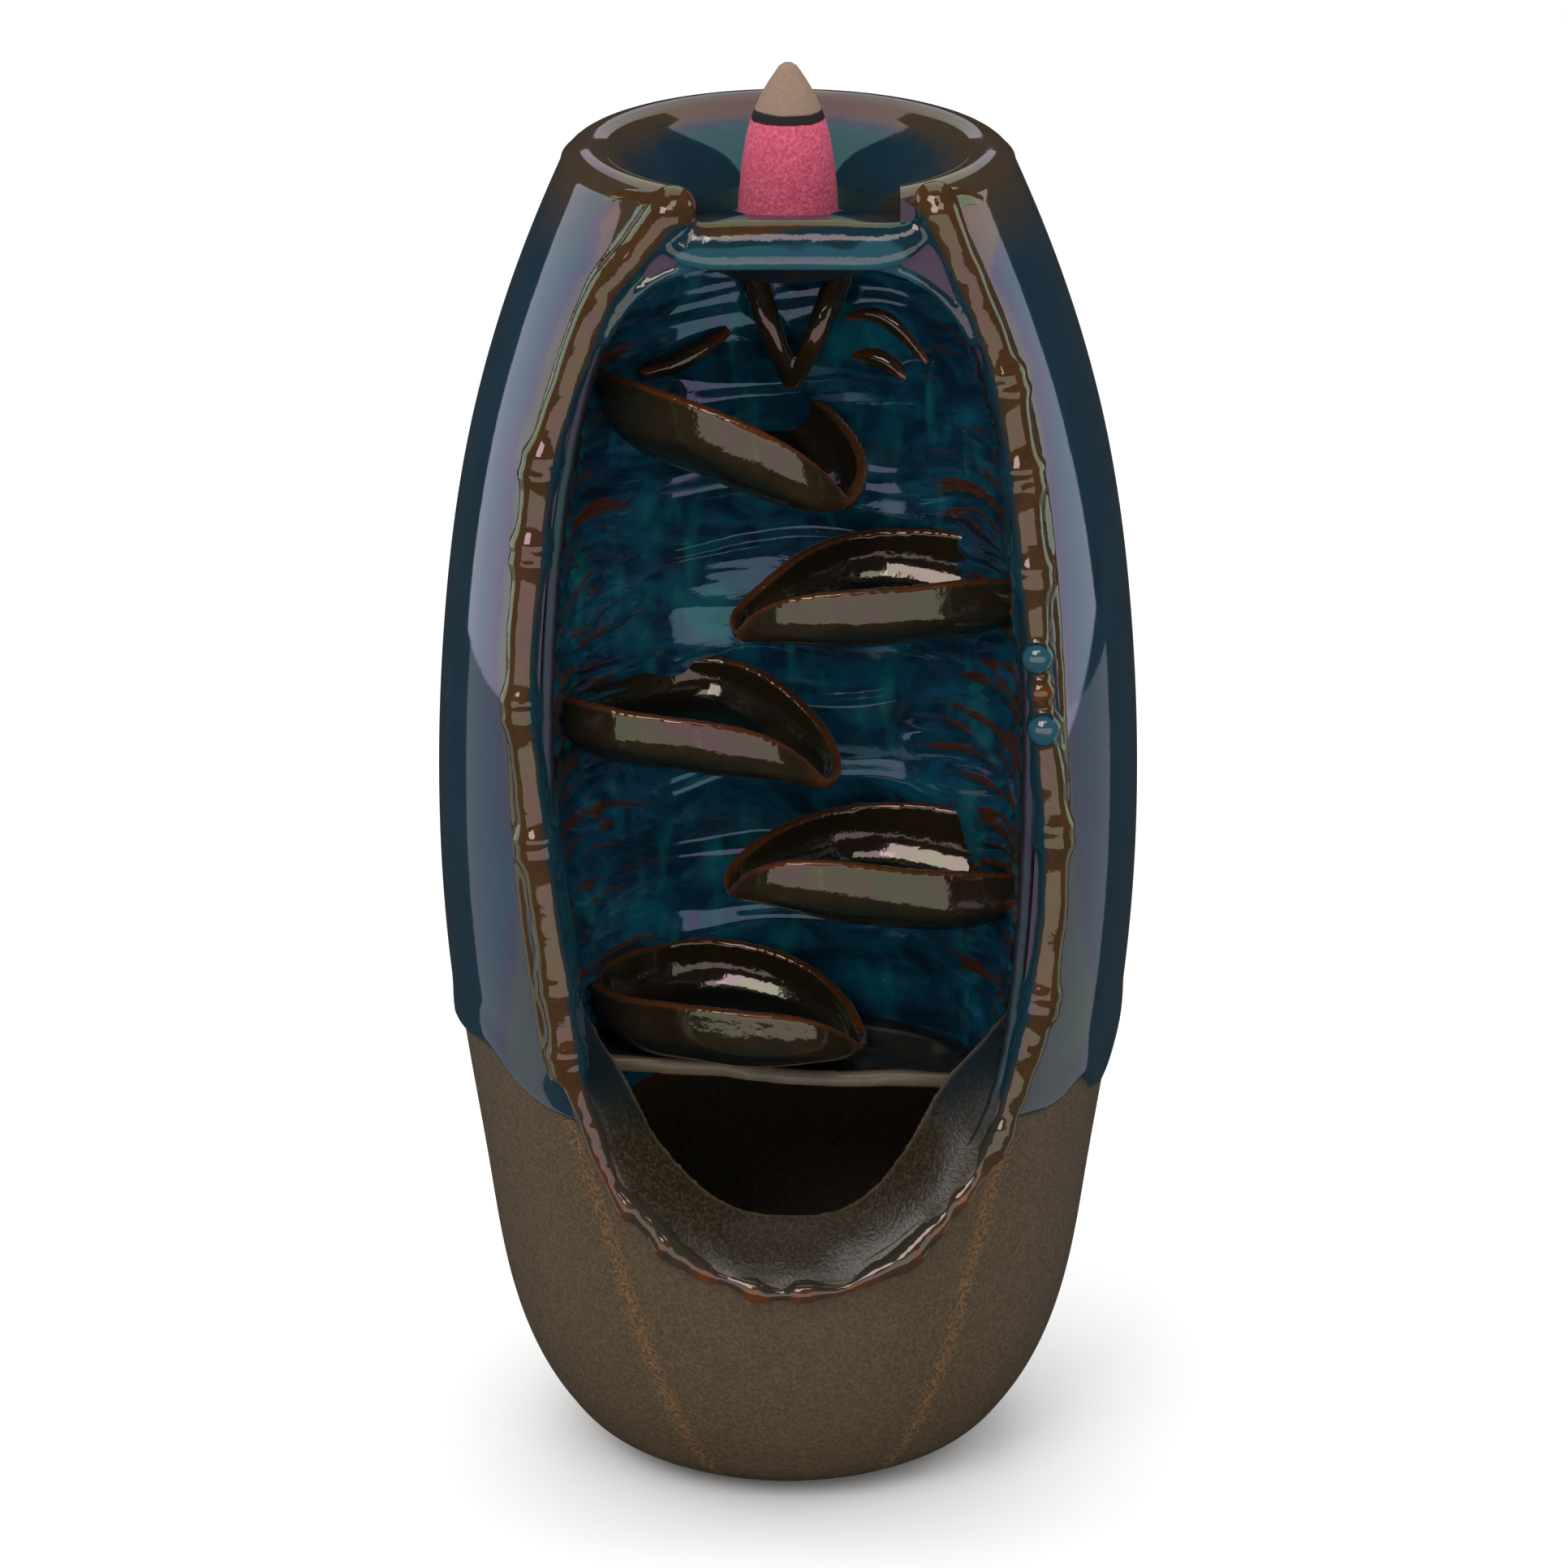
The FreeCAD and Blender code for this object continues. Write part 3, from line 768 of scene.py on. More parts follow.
def on_slice(outline, sink):
    """Places on the cut front for an outline of x and z."""
    return np.array([(x, -float(slice_at(z)) + sink, z) for x, z in outline])


def along(joints, spacing):
    """Even points along straight lengths, the joint values between, and how far each lies from a joint."""
    line, gaps = [], []
    for start, end in zip(joints, joints[1:]):
        length = np.linalg.norm(end[:2] - start[:2])
        for t in np.arange(0, 1, spacing / length):
            line.append(start + (end - start) * t)
            near = (1 - t) * start[3], t * length
            gaps.append(near if t < 0.5 else (t * end[3], (1 - t) * length))
    return np.array(line), np.array(gaps).T


# %% Ring, lip and all that joins them
def twig_ring():
    """The knuckled twig round the opening, with two shoulders outside it and a rod inside."""
    table, (swell, gap) = along(np.array(TWIG), 0.5)
    for _ in range(5):
        table[1:-1, :3] = 0.25 * table[:-2, :3] + 0.5 * table[1:-1, :3] + 0.25 * table[2:, :3]
    line = on_slice(table[:, :2], TWIG_SINK)
    knuckle = SWELL * swell * (np.exp(-(gap / 2.6) ** 2) - PINCH * np.exp(-(gap / 0.8) ** 2))
    # The twig is smooth at the sides and ragged round the mouth of the pool
    ragged = 0.12 + 0.3 * (1 - fade(54, 62, line[:, 2]))
    sway = np.stack([rough(line, (5, 5, 5), 8), 0 * gap, rough(line, (5, 5, 5), 9)], axis=1)
    line += (ragged - 0.1)[:, None] * sway
    ring = rod("twig", line, table[:, 2] + knuckle + ragged * rough(line, (3, 3, 3), 7))
    bend = np.radians(bearing(line)) + np.sign(line[:, 0]) * SHOULDER_REACH / side_radius(line[:, 2])
    sunk = side_radius(line[:, 2]) - SHOULDER_RADIUS + 0.2
    outer = np.stack([sunk * np.sin(bend), -sunk * np.cos(bend), line[:, 2]], axis=1)
    beside = outer[line[:, 2] > 62]
    split = int(np.argmax(np.diff(beside[:, 0]))) + 1
    shoulders = []
    for side in (beside[:split], beside[split:]):
        shoulders.append(rod("shoulder", side, [SHOULDER_RADIUS] * len(side)))
    inward = (MIDDLE_OF_FRONT - line) / np.linalg.norm(MIDDLE_OF_FRONT - line, axis=1)[:, None]
    inner = line + INNER_REACH * inward * (1, 0, 1) + (0, INNER_REACH, 0)
    return [ring, *shoulders, rod("inner", inner, INNER_SHARE * table[:, 2])], line


def lip():
    """The thick front edge of the dish: a rod that is flattened and leans back."""
    line = curve_through([(x, -LIP_DEPTH, z) for x, z in LIP], 60)
    piece = rod("lip", line, LIP_RADIUS * (1 - 0.55 * np.abs(np.linspace(-1, 1, 60)) ** 5))
    points = points_of(piece)
    flat = LIP_FLATNESS * (points[:, 1] + LIP_DEPTH)
    points[:, 1] = -LIP_DEPTH + flat + LIP_LEAN * (points[:, 2] - LIP_HEIGHT)
    place_points(piece, points)
    return piece


parts, ring_line = twig_ring()
arch = opening_loop(0.4, 120)
arch = arch[arch[:, 1] > 160]
arch = arch[arch[:, 0].argsort()]
parts += [lip(), rod("arch", on_slice(arch, 0.4), [ARCH_RADIUS] * len(arch))]
for cap, taper in zip(CAPS, (CAP_TAPER, CAP_TAPER[::-1])):
    parts.append(rod("cap", curve_through(cap, 40), CAP_RADIUS * taper))
parts += [bead(on_slice([(x, z)], -0.3)[0], radius) for x, z, radius in BEADS]
parts += [bead(on_slice([TWIG[end][:2]], 1.0)[0], 1.05 * TWIG[end][2]) for end in (0, -1)]
moulding = joined(parts, "twig_moulding")
melt(moulding, 0.45, 9)

# %% Which way a flank of the twig faces
BATCH = 4000


def flanks(piece, line):
    """Store -1 on the side that faces the niche, 0 on the crest and 1 on the outer side."""
    points = points_of(piece)
    near = np.empty(len(points), dtype=int)
    for first in range(0, len(points), BATCH):
        apart = points[first:first + BATCH, None] - line[None]
        near[first:first + BATCH] = (apart ** 2).sum(axis=2).argmin(axis=1)
    outward = (line[near] - MIDDLE_OF_FRONT) * (1, 0, 0.5)
    outward /= np.linalg.norm(outward, axis=1)[:, None]
    flank = ((points - line[near]) * outward).sum(axis=1) / 2.3
    # On the lip the value grows with the height, so its top is bronze and its face blue, lightened below
    # as a painted sheen
    on_lip = (1 - fade(11, 16, np.abs(points[:, 0]))) * (points[:, 2] > 170.5)
    flank += on_lip * (points[:, 2] - LIP_HEIGHT - 2.4 + 0.8 * rough(points, (5, 5, 2), 16) - flank)
    # The first and the last berry are blue, which the glaze shows far below -1; that blue is lightened as
    # a painted highlight
    for x, z, radius in BEADS[::2]:
        flank -= 3 * (1 - fade(0.7, 1.0, np.hypot(points[:, 0] - x, points[:, 2] - z) / radius))
    keep_values(piece, "flank", flank)


flanks(moulding, ring_line)
print("moulding", len(moulding.data.polygons), "faces")

# %% [markdown]
# ## The mouth of the pool
# Below the cups the twig thins to a ragged edge, and from it a band of glaze slopes into
# the dark hole of the foot. It is a strip between two outlines: the grid's columns run
# round the hole, and its rows run from the edge down into it.

# %% Mouth band
MOUTH_EDGE = (
    (-29.6, 73.0), (-28.4, 66.0), (-27.3, 60.5), (-24.2, 52.4), (-21.0, 47.0), (-14.8, 41.2),
    (-8.0, 37.6), (0.0, 36.1), (8.4, 36.9), (15.6, 40.4), (22.0, 46.8), (27.4, 55.0),
    (29.4, 61.5), (31.0, 66.0), (32.4, 73.0),
)
MOUTH_HOLE = (
    (-28.4, 73.0), (-24.4, 65.6), (-20.8, 59.8), (-18.4, 54.6), (-16.2, 51.6), (-12.4, 47.6),
    (-6.7, 44.2), (0.0, 43.2), (7.3, 44.2), (12.2, 47.6), (16.0, 52.6), (18.6, 57.4),
    (20.8, 61.0), (25.4, 66.0), (31.2, 73.0),
)
MOUTH_SLOPE = 5.0
MOUTH_WALL = 1.6


def mouth_band():
    """The sloping band round the hole of the pool."""
    piece, length, across = grid("mouth_band", 200, 24)
    across = ((across + 1) / 2)[:, None]
    marks = np.linspace(-1, 1, 300)
    outlines = (curve_through(outline, 300) for outline in (MOUTH_EDGE, MOUTH_HOLE))
    edge, hole = (read_line(length, marks, outline) for outline in outlines)
    points = on_slice(edge * (1 - across) + hole * across, 0.6)
    points[:, 1] += MOUTH_SLOPE * across[:, 0] ** 1.6 + 0.25 * rough(points, (7, 7, 5), 15)
    place_points(piece, points)
    modify(piece, "SOLIDIFY", thickness=MOUTH_WALL * MM, offset=0)
    melt(piece, 0.5, 5)
    return piece


mouth = mouth_band()
print("mouth band", len(mouth.data.polygons), "faces")

# %% [markdown]
# ## Spout and shelf
# Under the hole of the dish two ridges meet in a lip, and under the last cup a shelf
# leads to the edge of the pool. Both are short forms that a remesh softens.

# %% Spout and shelf
SPOUT = ((-4.8, 0.6, 162.8), (0.6, -0.6, 147.4), (6.8, 0.6, 162.4))
CRAGS = (
    ((-19.4, -4.6, 150.0), (-15.4, -2.2, 150.6), (-11.4, -0.4, 152.2), (-7.6, 1.2, 154.2)),
    ((7.4, 2.6, 155.6), (11.4, 1.6, 156.4), (15.2, 0.2, 154.4), (18.2, -2.0, 150.6)),
    ((8.2, 2.6, 150.4), (12.0, 1.4, 150.4), (15.8, -0.6, 147.8)),
)
SHELF_REACH = 29.5
BASIN_MIDDLE = (3, -13)
BASIN_SIZE = (17, 7.5)


def spout():
    """Two ridges that run down to one lip, among a few crags of rock."""
    left, tip, right_top = (np.array(p) for p in SPOUT)
    rods = []
    for top in (left, right_top):
        line = curve_through([top, (top + tip) / 2 + (0, -2.4, 0), tip], 30)
        rods.append(rod("ridge", line, 2.0 - 0.8 * np.linspace(0, 1, 30)))
    for crag in CRAGS:
        rods.append(rod("crag", curve_through(crag, 30), 0.4 + 1.1 * np.sin(np.linspace(0.2, 3, 30))))
    piece = joined(rods, "spout")
    melt(piece, 0.4, 4)
    return piece


def shelf():
    """The sloping shelf with its shallow oval basin."""
    piece, x, y = grid("shelf", 110, 50)
    x = SHELF_REACH * x
    y = SHELF_FRONT + 1 + (NICHE_BACK - SHELF_FRONT + 0.5) * (y + 1) / 2
    z = SHELF_HEIGHT - SHELF_FALL * x
    around = np.hypot((x - BASIN_MIDDLE[0]) / BASIN_SIZE[0], (y - BASIN_MIDDLE[1]) / BASIN_SIZE[1])
    z += 1.6 * np.exp(-((around - 1) / 0.16) ** 2) * fade(-18, -12, y) - 0.6 * (1 - fade(0.6, 1, around))
    place_points(piece, np.stack([x, y, z], axis=1))
    modify(piece, "SOLIDIFY", thickness=0.55 * SHELF_THICKNESS * MM, offset=-1)
    melt(piece, 0.55, 5)
    return piece


extras = [spout(), shelf()]
print("spout and shelf", [len(extra.data.polygons) for extra in extras])

# %% [markdown]
# ## The incense cone
# The cone is pressed powder: straight in the lower half, curving to a blunt tip. It burns
# from the top, so ash, a charred band and the fresh pink paste follow each other down.

# %% Cone
CONE_PROFILE = ((6.7, 0), (6.1, 7.6), (4.6, 15.2), (2.6, 19.4), (1.2, 21.6))
# From the top of the blind bore down to the base, as radius and height
CONE_BORE = ((0, 9.0), (1.9, 9.0), (1.9, 0.3), (2.2, 0), (6.4, 0))
CONE_HEIGHT = CONE_HIGH[2] - CONE_LOW[2]


def incense_cone():
    """The cone, spun, with its blind bore."""
    side = [tuple(p) for p in curve_through(CONE_PROFILE, 60)[1:]]
    rows = [*CONE_BORE, *side, (0.6, CONE_HEIGHT - 0.1), (0, CONE_HEIGHT)]
    piece = turned("cone_of_incense", rows, 72)
    points = points_of(piece)
    outside = np.hypot(points[:, 0], points[:, 1]) > 2.3
    grain = outside * 0.05 * rough(points, (0.7, 0.7, 0.7), 12) * fade(0.2, 1, points[:, 2])
    points[:, :2] *= (1 + grain / np.maximum(np.hypot(points[:, 0], points[:, 1]), 1))[:, None]
    points[:, 2] += DISH_FLOOR
    place_points(piece, points)
    pick(piece)
    bpy.ops.object.shade_smooth_by_angle(angle=math.radians(40))
    return piece


cone = incense_cone()
print("cone", len(cone.data.polygons), "faces")


# %% [markdown]
# ## Where glaze thins and pools
# Reactive glaze shows brown where it runs thin, on crests and rims, and blue where
# it gathers in hollows. So each vertex is told how much it sticks out: its
# distance from the mean of its neighbours, along its normal, smoothed a little.

# %% Crests
def crests(piece, passes):
    """Store how much each vertex sticks out of the surface round it."""
    mesh = piece.data
    ends = np.empty(2 * len(mesh.edges), dtype=np.int32)
    mesh.edges.foreach_get("vertices", ends)
    a, b = ends.reshape(-1, 2).T
    count = len(mesh.vertices)
    degree = np.maximum(np.bincount(a, minlength=count) + np.bincount(b, minlength=count), 1)

    def mean(values):
        total = np.bincount(a, values[b], count) + np.bincount(b, values[a], count)
        return total / degree

    points = points_of(piece)
    smooth = points.copy()
    for _ in range(passes):
        smooth = np.stack([mean(column) for column in smooth.T], axis=1)
    normals = np.empty(3 * count)
    mesh.vertex_normals.foreach_get("vector", normals)
    out = ((points - smooth) * normals.reshape(-1, 3)).sum(axis=1)
    for _ in range(3):
        out = 0.5 * out + 0.5 * mean(out)
    keep_values(piece, "crest", out)
    print(piece.name, "crest from", *np.round(np.percentile(out, (3, 97)), 2))
    return out


for pieces, passes in (([moulding, *cups], 16), ([*extras, mouth], 12)):
    for piece in pieces:
        crests(piece, passes)

# %% Front edge of the lining
places = points_of(liner)
inside = fade(1.5, 4.5, places[:, 1] + slice_at(places[:, 2]))
keep_values(liner, "crest", crests(liner, 14) * inside)
keep_values(liner, "inside", inside)

# %% [markdown]
# The sheen of the vase shifts in bands beside the twig, from bronze through violet to
# teal, and again down the wall of the dish. So each vertex is also told how far it lies
# from the twig.

# %% Bands of sheen on the vase
def ring_reach(points):
    """How far out the twig lies at each point's height, on the point's own side."""
    table = np.array(TWIG)
    reach = np.empty(len(points))
    for side in (-1, 1):
        arm = table[table[:, 0] * side > 0]
        arm = arm[arm[:, 1].argsort()]
        own = points[:, 0] * side >= 0
        reach[own] = np.interp(points[own, 2], arm[:, 1], side * arm[:, 0])
    return reach


places = points_of(vase)
away = np.hypot(places[:, 0], places[:, 1])
# The whole back keeps the last tint, and near the rim and the glaze line the first one spreads
bands = np.abs(places[:, 0]) - ring_reach(places) + 20 * fade(-15, 0, places[:, 1])
bands -= 4 * fade(168, 176, places[:, 2]) + 6 * (1 - fade(60, 90, places[:, 2]))
in_dish = (places[:, 2] > DISH_FLOOR - 0.5) & (away < RIM_RADIUS - 1)
keep_values(vase, "bands", np.where(in_dish, 2.4 + 3.4 * fade(22.0, 19.0, away), bands))
print("bands of sheen on", len(places), "vertices")

# %% [markdown]
# ## Writing materials
# A material is a small formula. One class wraps a socket, so that its maths reads as
# Python, and one method adds any other node.


# %% Shader tools
def joining(operation, swapped=False):
    """An operator of the class below, which adds one Math node."""
    def method(self, other):
        first, second = (other, self) if swapped else (self, other)
        return self.maths(operation, {0: first, 1: second})
    return method


class Flow:
    """A socket's value, on which sums and products become Math nodes."""

    def __init__(self, finish, socket):
        self.finish = finish
        self.socket = socket

    def maths(self, operation, sockets, clamp=False):
        return self.finish.add("ShaderNodeMath", {"operation": operation, "use_clamp": clamp}, sockets)

    __add__, __radd__ = joining("ADD"), joining("ADD", swapped=True)
    __sub__, __rsub__ = joining("SUBTRACT"), joining("SUBTRACT", swapped=True)
    __mul__, __rmul__ = joining("MULTIPLY"), joining("MULTIPLY", swapped=True)

    def __abs__(self):
        return self.maths("ABSOLUTE", {0: self})

    def clamped(self):
        return self.maths("ADD", {0: self, 1: 0.0}, clamp=True)


class Finish:
    """A material under construction."""

    def __init__(self, name):
        self.material = bpy.data.materials.new(name)
        self.material.use_nodes = True
        self.tree = self.material.node_tree
        self.tree.nodes.clear()

    def add(self, kind, settings, sockets, output=0):
        """Any node: its settings first, then the values or links of its sockets."""
        node = self.tree.nodes.new(kind)
        for setting, value in settings.items():
            setattr(node, setting, value)
        for socket, value in sockets.items():
            if isinstance(value, Flow):
                self.tree.links.new(value.socket, node.inputs[socket])
            elif isinstance(value, tuple) and node.inputs[socket].type == "RGBA":
                node.inputs[socket].default_value = (*value, 1)
            else:
                node.inputs[socket].default_value = value
        return Flow(self, node.outputs[output])

    def places(self, size):
        """Object coordinates, measured in steps of a size in millimetres along x, y and z."""
        scale = tuple(1 / (s * MM) for s in size)
        source = self.add("ShaderNodeTexCoord", {}, {}, "Object")
        return self.add("ShaderNodeVectorMath", {"operation": "MULTIPLY"}, {0: source, 1: scale})

    def grain(self, size, detail=3.0, roughness=0.5, bend=0.0):
        """Noise from 0 to 1 with a grain of a size in millimetres."""
        sockets = {"Vector": self.places(size), "Scale": 1.0, "Detail": detail}
        sockets.update({"Roughness": roughness, "Distortion": bend})
        return self.add("ShaderNodeTexNoise", {}, sockets, "Fac")

    def stored(self, name):
        """A number stored on the mesh."""
        return self.add("ShaderNodeAttribute", {"attribute_name": name}, {}, "Fac")

    def ramp(self, value, low, high):
        """0 at low, 1 at high and a soft step between."""
        settings = {"interpolation_type": "SMOOTHSTEP"}
        return self.add("ShaderNodeMapRange", settings, {0: value, 1: low, 2: high, 3: 0.0, 4: 1.0})

    def blend(self, share, first, second):
        """The first colour where the share is 0 and the second where it is 1; a code will do for each."""
        first, second = (colour(c) if isinstance(c, str) else c for c in (first, second))
        settings = {"data_type": "RGBA"}
        return self.add("ShaderNodeMix", settings, {0: share, 6: first, 7: second}, 2)

    def height(self):
        """The three coordinates in millimetres, of which the last is the height."""
        place = self.places((1, 1, 1))
        return [self.add("ShaderNodeSeparateXYZ", {}, {0: place}, axis) for axis in "XYZ"]

    def bump(self, value, depth):
        """A bump whose full height is a depth in millimetres."""
        return self.add("ShaderNodeBump", {}, {"Height": value, "Distance": depth * MM}, "Normal")

    def skin(self, colour, roughness, **sockets):
        """One shader."""
        sockets = {"Base Color": colour, "Roughness": roughness, **sockets}
        return self.add("ShaderNodeBsdfPrincipled", {}, sockets, "BSDF")

    def made(self, shader):
        """The finished material."""
        output = self.tree.nodes.new("ShaderNodeOutputMaterial")
        self.tree.links.new(shader.socket, output.inputs["Surface"])
        return self.material

    def mixed(self, share, first, second):
        """Two shaders, the second where the share is 1."""
        return self.add("ShaderNodeMixShader", {}, {0: share, 1: first, 2: second}, "Shader")

    def lustre(self, colour, roughness, normal, films, shares=None):
        """A glaze whose sheen drifts between tints, as a film of uneven thickness does."""
        shares = shares or [self.ramp(self.grain((11, 11, 26), 3, 0.6, 1.2), 0.38, 0.62)]
        sockets = {"IOR": GLAZE_IOR, "Thin Film IOR": FILM_IOR, "Normal": normal}
        skins = []
        for film in films:
            skins.append(self.skin(colour, roughness, **sockets, **{"Thin Film Thickness": film}))
        sheen = skins[0]
        for share, skin in zip(shares, skins[1:]):
            sheen = self.mixed(share, sheen, skin)
        return sheen


def colour(code):
    """Linear colour from a six-digit web colour."""
    parts = [int(code[i:i + 2], 16) / 255 for i in (0, 2, 4)]
    return tuple(c / 12.92 if c <= 0.04045 else ((c + 0.055) / 1.055) ** 2.4 for c in parts)


# %% [markdown]
# ## The glazes
# One reactive glaze covers the ceramic, in four finishes. The outside is near-black navy
# that turns brown on the rim and stops at the glaze line, with bare speckled clay below
# it. In the niche it is pooled thick: blue and teal, with rust on the crests. Twig and
# leaves carry it thin, so they are dark bronze with copper ridges, and round the mouth of
# the pool it is dull and speckled. Its sheen comes from a thin film over each shader,
# whose thickness sets the tint: a mix of two or three gives the drift from one to another.

# %% Glaze on the vase
GLAZE_IOR = 1.6
FILM_IOR = 1.75
# Thickness in nanometres: bronze, violet and teal on the vase, blues in the niche, olive on the twig
VASE_FILMS = (466.0, 357.0, 381.0)
POOL_FILMS = (325.0, 352.0)
THIN_FILMS = (412.0, 430.0)


def vase_glaze():
    """Glossy navy above the glaze line, and bare clay with two rusty runs below it."""
    f = Finish("vase_glaze")
    x, y, z = f.height()
    mottle = f.grain((9, 9, 14), 4, 0.6, 0.6)
    away = f.add("ShaderNodeMath", {"operation": "SQRT"}, {0: x * x + y * y})
    crown = f.ramp(away + 3.0 * (mottle - 0.5), 18.5, 23.0)
    crown = crown * f.ramp(z + 10 * (mottle - 0.5), 166.0, 180.0)
    navy = f.blend(mottle, "0f1f29", "17303c")
    glossy = f.blend(crown, navy, "392e21")
    glossy = f.blend(f.stored("cut_face"), glossy, "0e1c22")
    speck = f.grain((0.5, 0.5, 0.5), 2, 0.7)
    clay = f.blend(f.ramp(speck, 0.35, 0.7), "382b16", "534024")
    clay = f.blend(f.grain((14, 14, 20), 3, 0.5) * 0.5, clay, "4e3d28")
    turn = f.add("ShaderNodeMath", {"operation": "ARCTAN2"}, {0: x, 1: -1.0 * y}) * (180 / math.pi)
    left_run = 1 - f.ramp(abs(turn + 20.0 + 0.38 * z), 0.0, 3.2)
    right_run = 1 - f.ramp(abs(turn - 27.0 - 0.28 * z), 0.0, 3.2)
    runs = (left_run + right_run) * f.ramp(speck, 0.4, 0.64) * 0.75
    clay = f.blend(runs.clamped(), clay, "70491a")
    glazed = f.ramp(f.stored("above_line"), -0.75, -0.25)
    bare = f.skin(clay, 0.62, Normal=f.bump(speck, 0.1))
    bands = f.stored("bands") + 3.0 * (f.grain((8, 8, 22), 3, 0.6, 1.2) - 0.5)
    shares = (f.ramp(bands, 2.6, 3.6), f.ramp(bands, 4.0, 5.2))
    roughness = 0.05 + 0.3 * f.stored("cut_face")
    sheen = f.lustre(glossy, roughness, f.bump(mottle, 0.02), VASE_FILMS, shares)
    return f.made(f.mixed(glazed, bare, sheen))


# %% Pooled and thin glaze
def pooled_glaze():
    """Blue and teal clouds with rust on the crests, and dark and dull at the front edge."""
    f = Finish("pooled_glaze")
    crest = f.stored("crest")
    blue = f.blend(f.ramp(f.grain((9, 9, 5), 4, 0.6, 0.8), 0.35, 0.7), "0a1e2d", "0d4053")
    blue = f.blend(f.ramp(f.grain((5, 5, 12), 2, 0.5, 0.3), 0.5, 0.85), blue, "115a5c")
    rust = f.ramp(crest + 0.2 * (f.grain((4, 4, 1.2), 3, 0.6) - 0.5), 0.08, 0.22)
    edge = 1 - f.stored("inside")
    skin = f.blend(edge, f.blend(rust, blue, "361d0d"), "11130f")
    ripples = f.bump(f.grain((3, 3, 1.6), 3, 0.5), 0.025)
    return f.made(f.lustre(skin, 0.06 + 0.3 * edge, ripples, POOL_FILMS))


def thin_glaze(name, bronze, pool, hollow, copper, ridges):
    """Two tones of bronze, the pool's colour where the flank is low and where crest is below hollow, and
    ridges above copper; on the leaves the pool's colour is a painted shade.
    """
    f = Finish(name)
    crest = f.stored("crest")
    flank = f.stored("flank")
    mottle = f.grain((3.5, 3.5, 6), 4, 0.6, 0.5)
    skin = f.blend(mottle, *bronze)
    # The pool's colour comes in where the flank is low: on the twig the side that faces the niche, on the
    # leaves their lower half, where it is a painted shade
    inner = 1 - f.ramp(flank + 0.5 * (mottle - 0.5), -0.75, -0.2)
    pool_and_shade = (inner + 1 - f.ramp(crest + 0.2 * (mottle - 0.5), hollow - 0.2, hollow)).clamped()
    skin = f.blend(pool_and_shade, skin, pool)
    # The paler blue of the berries and of the lip's face, their blue glaze lightened as a painted sheen,
    # and the greyer brown round the mouth of the pool
    skin = f.blend(1 - f.ramp(flank, -2.4, -1.8), skin, "1f424d")
    skin = f.blend(f.ramp(f.height()[2] + 6 * (mottle - 0.5), 63.0, 54.0), skin, "2b251e")
    ridge = f.ramp(crest + 0.1 * (mottle - 0.5), copper, copper + 0.2) * f.ramp(flank, -0.6, -0.3)
    ripples = f.bump(f.grain((1.6, 1.6, 1.6), 3, 0.5), 0.05)
    return f.made(f.lustre(f.blend(ridge, skin, ridges), 0.07, ripples, THIN_FILMS))


def mouth_glaze():
    """Dull speckled brown that turns blue-black higher up, and pale on the crests, a painted highlight."""
    f = Finish("mouth_glaze")
    speck = f.grain((0.5, 0.5, 0.5), 2, 0.7)
    cloud = f.grain((8, 8, 8), 3, 0.5)
    skin = f.blend(f.ramp(speck, 0.4, 0.7), "1d160d", "372b18")
    skin = f.blend(f.ramp(f.height()[2] + 8 * (cloud - 0.5), 52.0, 64.0), skin, "0b161b")
    # Pale on the crests: a painted highlight along the ragged edge and the front of the shelf
    skin = f.blend(f.ramp(f.stored("crest"), 0.1, 0.45) * 0.8, skin, "625443")
    return f.made(f.skin(skin, 0.26, Normal=f.bump(speck, 0.06), IOR=1.5))


# %% Incense paste
# Heights between which the paste turns to char, and the char to ash
CHAR = (183.2, 183.35)
ASH = (184.4, 184.7)


def paste():
    """Pink paste, a black band above it and ash at the top."""
    f = Finish("incense_paste")
    grain = f.grain((0.45, 0.45, 0.45), 3, 0.7)
    pink = f.blend(f.ramp(grain, 0.35, 0.75), "b63a58", "d06a80")
    ash = f.blend(grain, "725a49", "927a68")
    wavy = f.height()[2] + 0.5 * (f.grain((3, 3, 3), 2) - 0.5)
    skin = f.blend(f.ramp(wavy, *CHAR), pink, "1d1716")
    skin = f.blend(f.ramp(wavy, *ASH), skin, ash)
    return f.made(f.skin(skin, 0.9, Normal=f.bump(grain, 0.15)))


# %% Dressing the pieces
def dress(piece, finish, node):
    """Give a piece its finish, hang it on the root, and hide the part that it stands for."""
    piece.data.materials.clear()
    piece.data.materials.append(finish)
    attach(piece, "root")
    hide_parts(node)


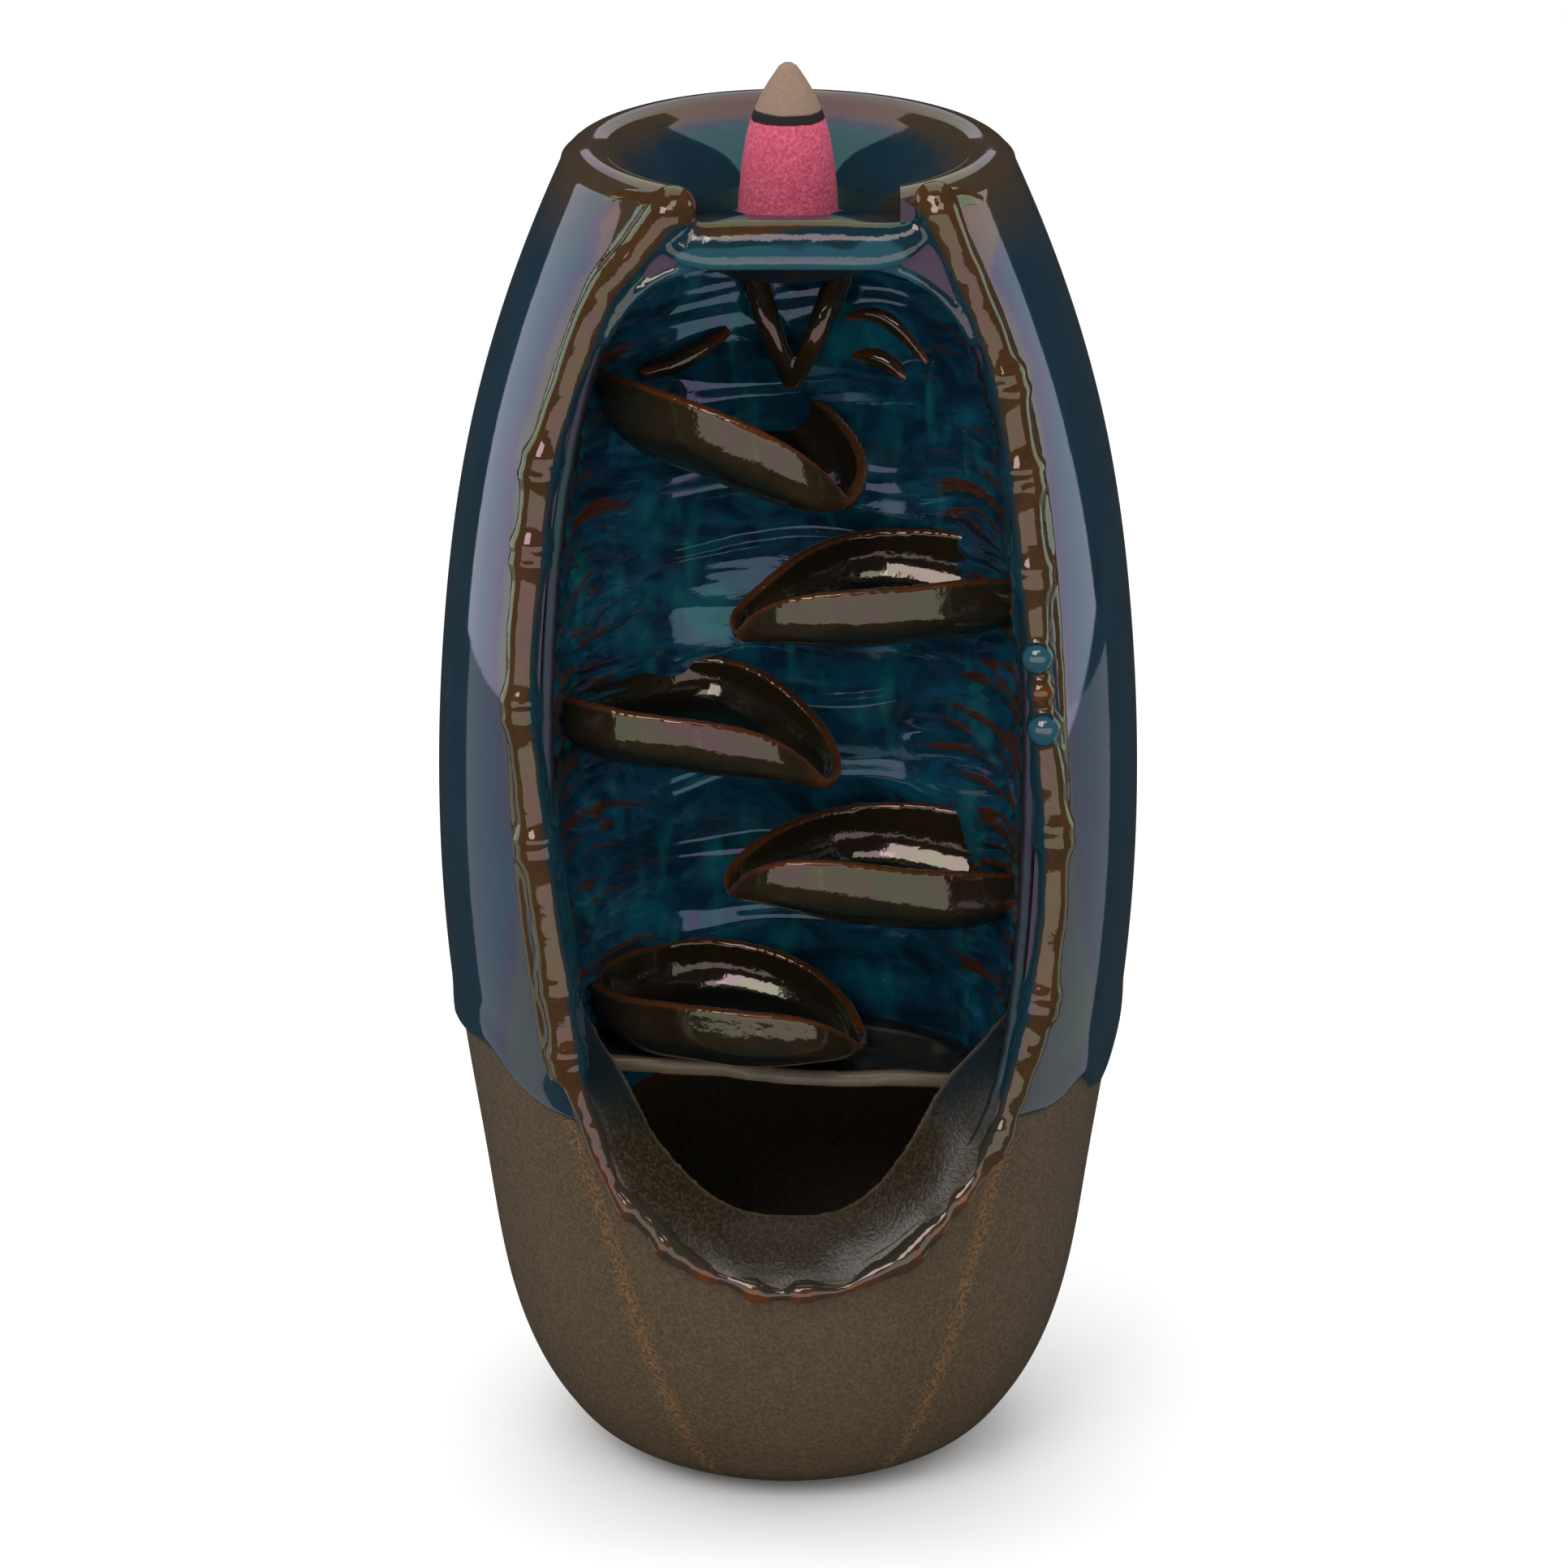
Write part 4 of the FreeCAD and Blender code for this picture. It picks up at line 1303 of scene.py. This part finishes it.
vase_finish, niche_finish = vase_glaze(), pooled_glaze()
twig_finish = thin_glaze(
    "twig_glaze", bronze=("2a1b10", "452e1a"), pool="0c2630", hollow=-0.02, copper=0.28, ridges="52290f"
)
# The leaves' pool colour is near-black: a painted shade on the lower half of each cup and in its hollows
leaf_finish = thin_glaze(
    "leaf_glaze", bronze=("130f09", "281e12"), pool="0e100d", hollow=-0.1, copper=0.2, ridges="45240f"
)
mouth_finish = mouth_glaze()
spout_piece, shelf_piece = extras
keep_values(spout_piece, "flank", np.ones(len(spout_piece.data.vertices)))
for finish, pieces in (
    (vase_finish, [vase]),
    (niche_finish, [liner]),
    (twig_finish, [moulding]),
    (leaf_finish, [*cups, spout_piece]),
    (mouth_finish, [mouth, shelf_piece]),
):
    for piece in pieces:
        dress(piece, finish, "burner_body")
    print(finish.name, "on", [piece.name for piece in pieces])
dress(cone, paste(), "incense_cone")

# %% [markdown]
# ## The studio
# A wide pale floor fills the picture. Glossy rays pass through it to a dim room, as
# the black cards of a product photographer keep dark glaze dark.

# %% Floor and room
FLOOR_SIZE = 12.0
ROOM_LIGHT = 1.05
GLOSSY_LIGHT = 0.03


def studio():
    """The floor, and a world that is bright for all but glossy rays."""
    deselect()
    bpy.ops.mesh.primitive_plane_add(size=FLOOR_SIZE, location=(0, 0, -0.02 * MM))
    ground = called("studio_floor")
    pale = Finish("studio_floor")
    ground.data.materials.append(pale.made(pale.skin((0.86, 0.86, 0.86), 0.9)))
    ground.visible_glossy = False
    world = bpy.data.worlds.new("studio")
    world.use_nodes = True
    tree = world.node_tree
    tree.nodes.clear()
    path = tree.nodes.new("ShaderNodeLightPath")
    mix = tree.nodes.new("ShaderNodeMixShader")
    output = tree.nodes.new("ShaderNodeOutputWorld")
    for index, level in ((1, ROOM_LIGHT), (2, GLOSSY_LIGHT)):
        light = tree.nodes.new("ShaderNodeBackground")
        light.inputs["Color"].default_value = (1, 1, 1, 1)
        light.inputs["Strength"].default_value = level
        tree.links.new(light.outputs[0], mix.inputs[index])
    tree.links.new(path.outputs["Is Glossy Ray"], mix.inputs[0])
    tree.links.new(mix.outputs[0], output.inputs["Surface"])
    bpy.context.scene.world = world


studio()
